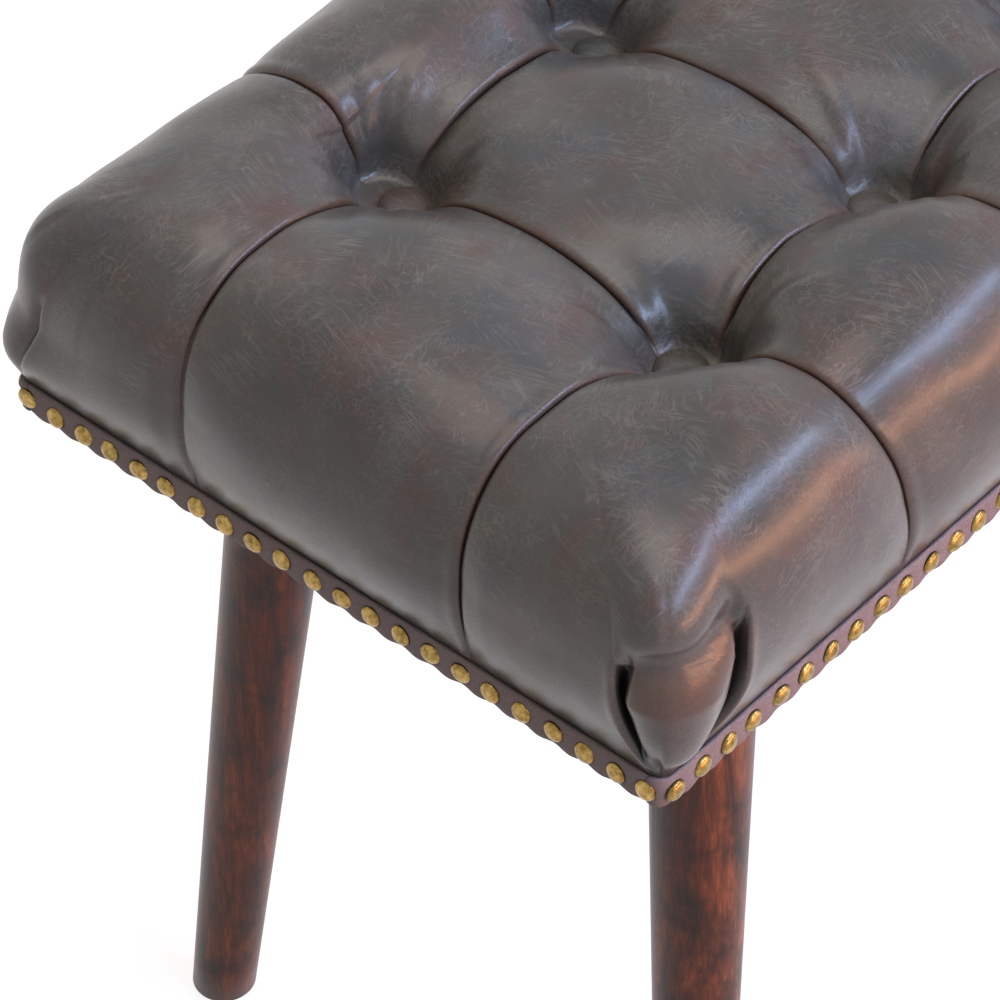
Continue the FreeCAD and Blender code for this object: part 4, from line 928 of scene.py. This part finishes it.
for spot, radius in leg_holes:
    cut_out |= np.hypot(middle_x - spot.x, middle_y - spot.y) < radius
    from_spot = np.hypot(cloth_x - spot.x, cloth_y - spot.y)
    near_hole = abs(from_spot - radius) < LINING_CELL * SNAP_TO_HOLE
    pull = np.where(near_hole, radius / np.maximum(from_spot, MM), 1)
    cloth_x, cloth_y = spot.x + (cloth_x - spot.x) * pull, spot.y + (cloth_y - spot.y) * pull
hang = np.clip(1 - (cloth_x / half_along) ** 2, 0, 1) * np.clip(1 - (cloth_y / half_across) ** 2, 0, 1)
cloth_points = np.stack([cloth_x, cloth_y, lining_high.z - LINING_SAG * hang], -1).reshape(-1, 3)
numbers = np.arange(len(cloth_points)).reshape(cloth_x.shape)
cloth_faces = np.stack([numbers[:-1, :-1], numbers[:-1, 1:], numbers[1:, 1:], numbers[1:, :-1]], -1)[~cut_out]
used, cloth_faces = np.unique(cloth_faces, return_inverse=True)
lining = mesh_object("stretched_lining", cloth_points[used], cloth_faces.reshape(-1, 4), spun_lining)
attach(lining, "root")
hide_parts("lining_cloth")

# The studio: a white floor that shows a faint shadow, a white background, a cool softbox above a
# warm strip in front of the bench, a soft fill lamp over it, and the camera.

# Paper, painted white: seen by the camera and in reflections as a plain white with a faint shadow,
# and for the light that it throws back as pale paint
white_floor, tree, shader = new_material("white_paper_floor")
output = next(node for node in tree.nodes if node.type == "OUTPUT_MATERIAL")
tree.nodes.remove(shader)
dim = add(tree, "BsdfDiffuse", Color=linear("#9f9fa2"))
glow = add(tree, "Emission", Color=linear("#ffffff"), Strength=0.85)
seen = add(tree, "AddShader", [(0, dim, 0), (1, glow, 0)])
paint = add(tree, "BsdfDiffuse", Color=linear("#8f8680"))
ray = add(tree, "LightPath")
mirrored = add(tree, "Math", [(0, ray, "Is Camera Ray"), (1, ray, "Is Glossy Ray")], operation="MAXIMUM")
looked_at = add(tree, "Math", [(0, mirrored, 0), (1, ray, "Is Transmission Ray")], operation="MAXIMUM")
chosen = add(tree, "MixShader", [("Fac", looked_at, 0), (1, paint, 0), (2, seen, 0)])
tree.links.new(chosen.outputs[0], output.inputs[0])
FLOOR_HALF = 6.0
floor = mesh_object("floor", [
    (-FLOOR_HALF, -FLOOR_HALF, 0), (FLOOR_HALF, -FLOOR_HALF, 0), (FLOOR_HALF, FLOOR_HALF, 0),
    (-FLOOR_HALF, FLOOR_HALF, 0),
], [(0, 1, 2, 3)], white_floor, False)

world = bpy.data.worlds.new("studio")
bpy.context.scene.world = world
world.use_nodes = True
tree = world.node_tree
tree.nodes.clear()
surroundings = add(tree, "Background", Color=linear("#fff6ee"), Strength=0.3)
backdrop = add(tree, "Background", Color=linear("#ffffff"), Strength=1.0)
ray = add(tree, "LightPath")
mirrored = add(tree, "Math", [(0, ray, "Is Camera Ray"), (1, ray, "Is Glossy Ray")], operation="MAXIMUM")
looked_at = add(tree, "Math", [(0, mirrored, 0), (1, ray, "Is Transmission Ray")], operation="MAXIMUM")
chosen = add(tree, "MixShader", [("Fac", looked_at, 0), (1, surroundings, 0), (2, backdrop, 0)])
tree.links.new(chosen.outputs[0], tree.nodes.new("ShaderNodeOutputWorld").inputs[0])


def lamp(name, place, aim, size, watts, colour):
    """A soft rectangular lamp aimed at a point."""
    data = bpy.data.lights.new(name, "AREA")
    data.shape = "RECTANGLE"
    data.size, data.size_y = size
    data.energy = watts
    data.color = linear(colour)[:3]
    item = bpy.data.objects.new(name, data)
    item.location = place
    item.rotation_mode = "QUATERNION"
    item.rotation_quaternion = (Vector(aim) - Vector(place)).to_track_quat("-Z", "Y")
    bpy.context.scene.collection.objects.link(item)


SEAT_MIDDLE = (0, 0, 0.5)
lamp("cool_softbox", (0.6, -1.7, 2.0), SEAT_MIDDLE, size=(3.2, 0.22), watts=66, colour="#b8d0ff")
lamp("warm_strip", (0.6, -2.2, 0.75), SEAT_MIDDLE, size=(3.2, 0.3), watts=46, colour="#ffb080")
lamp("fill_lamp", (-0.2, -0.1, 2.7), SEAT_MIDDLE, size=(1.8, 1.8), watts=26, colour="#fff2e4")

# The camera was fitted to points of the photo. Its picture is 1000 pixels wide
CAMERA_PLACE = Vector((-1.705, -1.204, 2.257))
CAMERA_AZIMUTH, CAMERA_FALL, CAMERA_ROLL = math.radians(41.59), math.radians(45.64), math.radians(-0.86)
FOCAL_PIXELS, PICTURE_PIXELS, SENSOR = 6003, 1000, 36.0
look = Vector((
    math.cos(CAMERA_FALL) * math.cos(CAMERA_AZIMUTH), math.cos(CAMERA_FALL) * math.sin(CAMERA_AZIMUTH),
    -math.sin(CAMERA_FALL),
))
level_right = look.cross(Vector((0, 0, 1))).normalized()
level_up = level_right.cross(look)
right_axis = math.cos(CAMERA_ROLL) * level_right + math.sin(CAMERA_ROLL) * level_up
up_axis = math.cos(CAMERA_ROLL) * level_up - math.sin(CAMERA_ROLL) * level_right
camera_data = bpy.data.cameras.new("camera")
camera_data.sensor_width = SENSOR
camera_data.lens = FOCAL_PIXELS / PICTURE_PIXELS * SENSOR
camera = bpy.data.objects.new("camera", camera_data)
axes = Matrix((right_axis, up_axis, -look)).transposed()
camera.matrix_world = Matrix.Translation(CAMERA_PLACE) @ axes.to_4x4()
bpy.context.scene.collection.objects.link(camera)
bpy.context.scene.camera = camera
bpy.context.scene.view_settings.view_transform = "Standard"
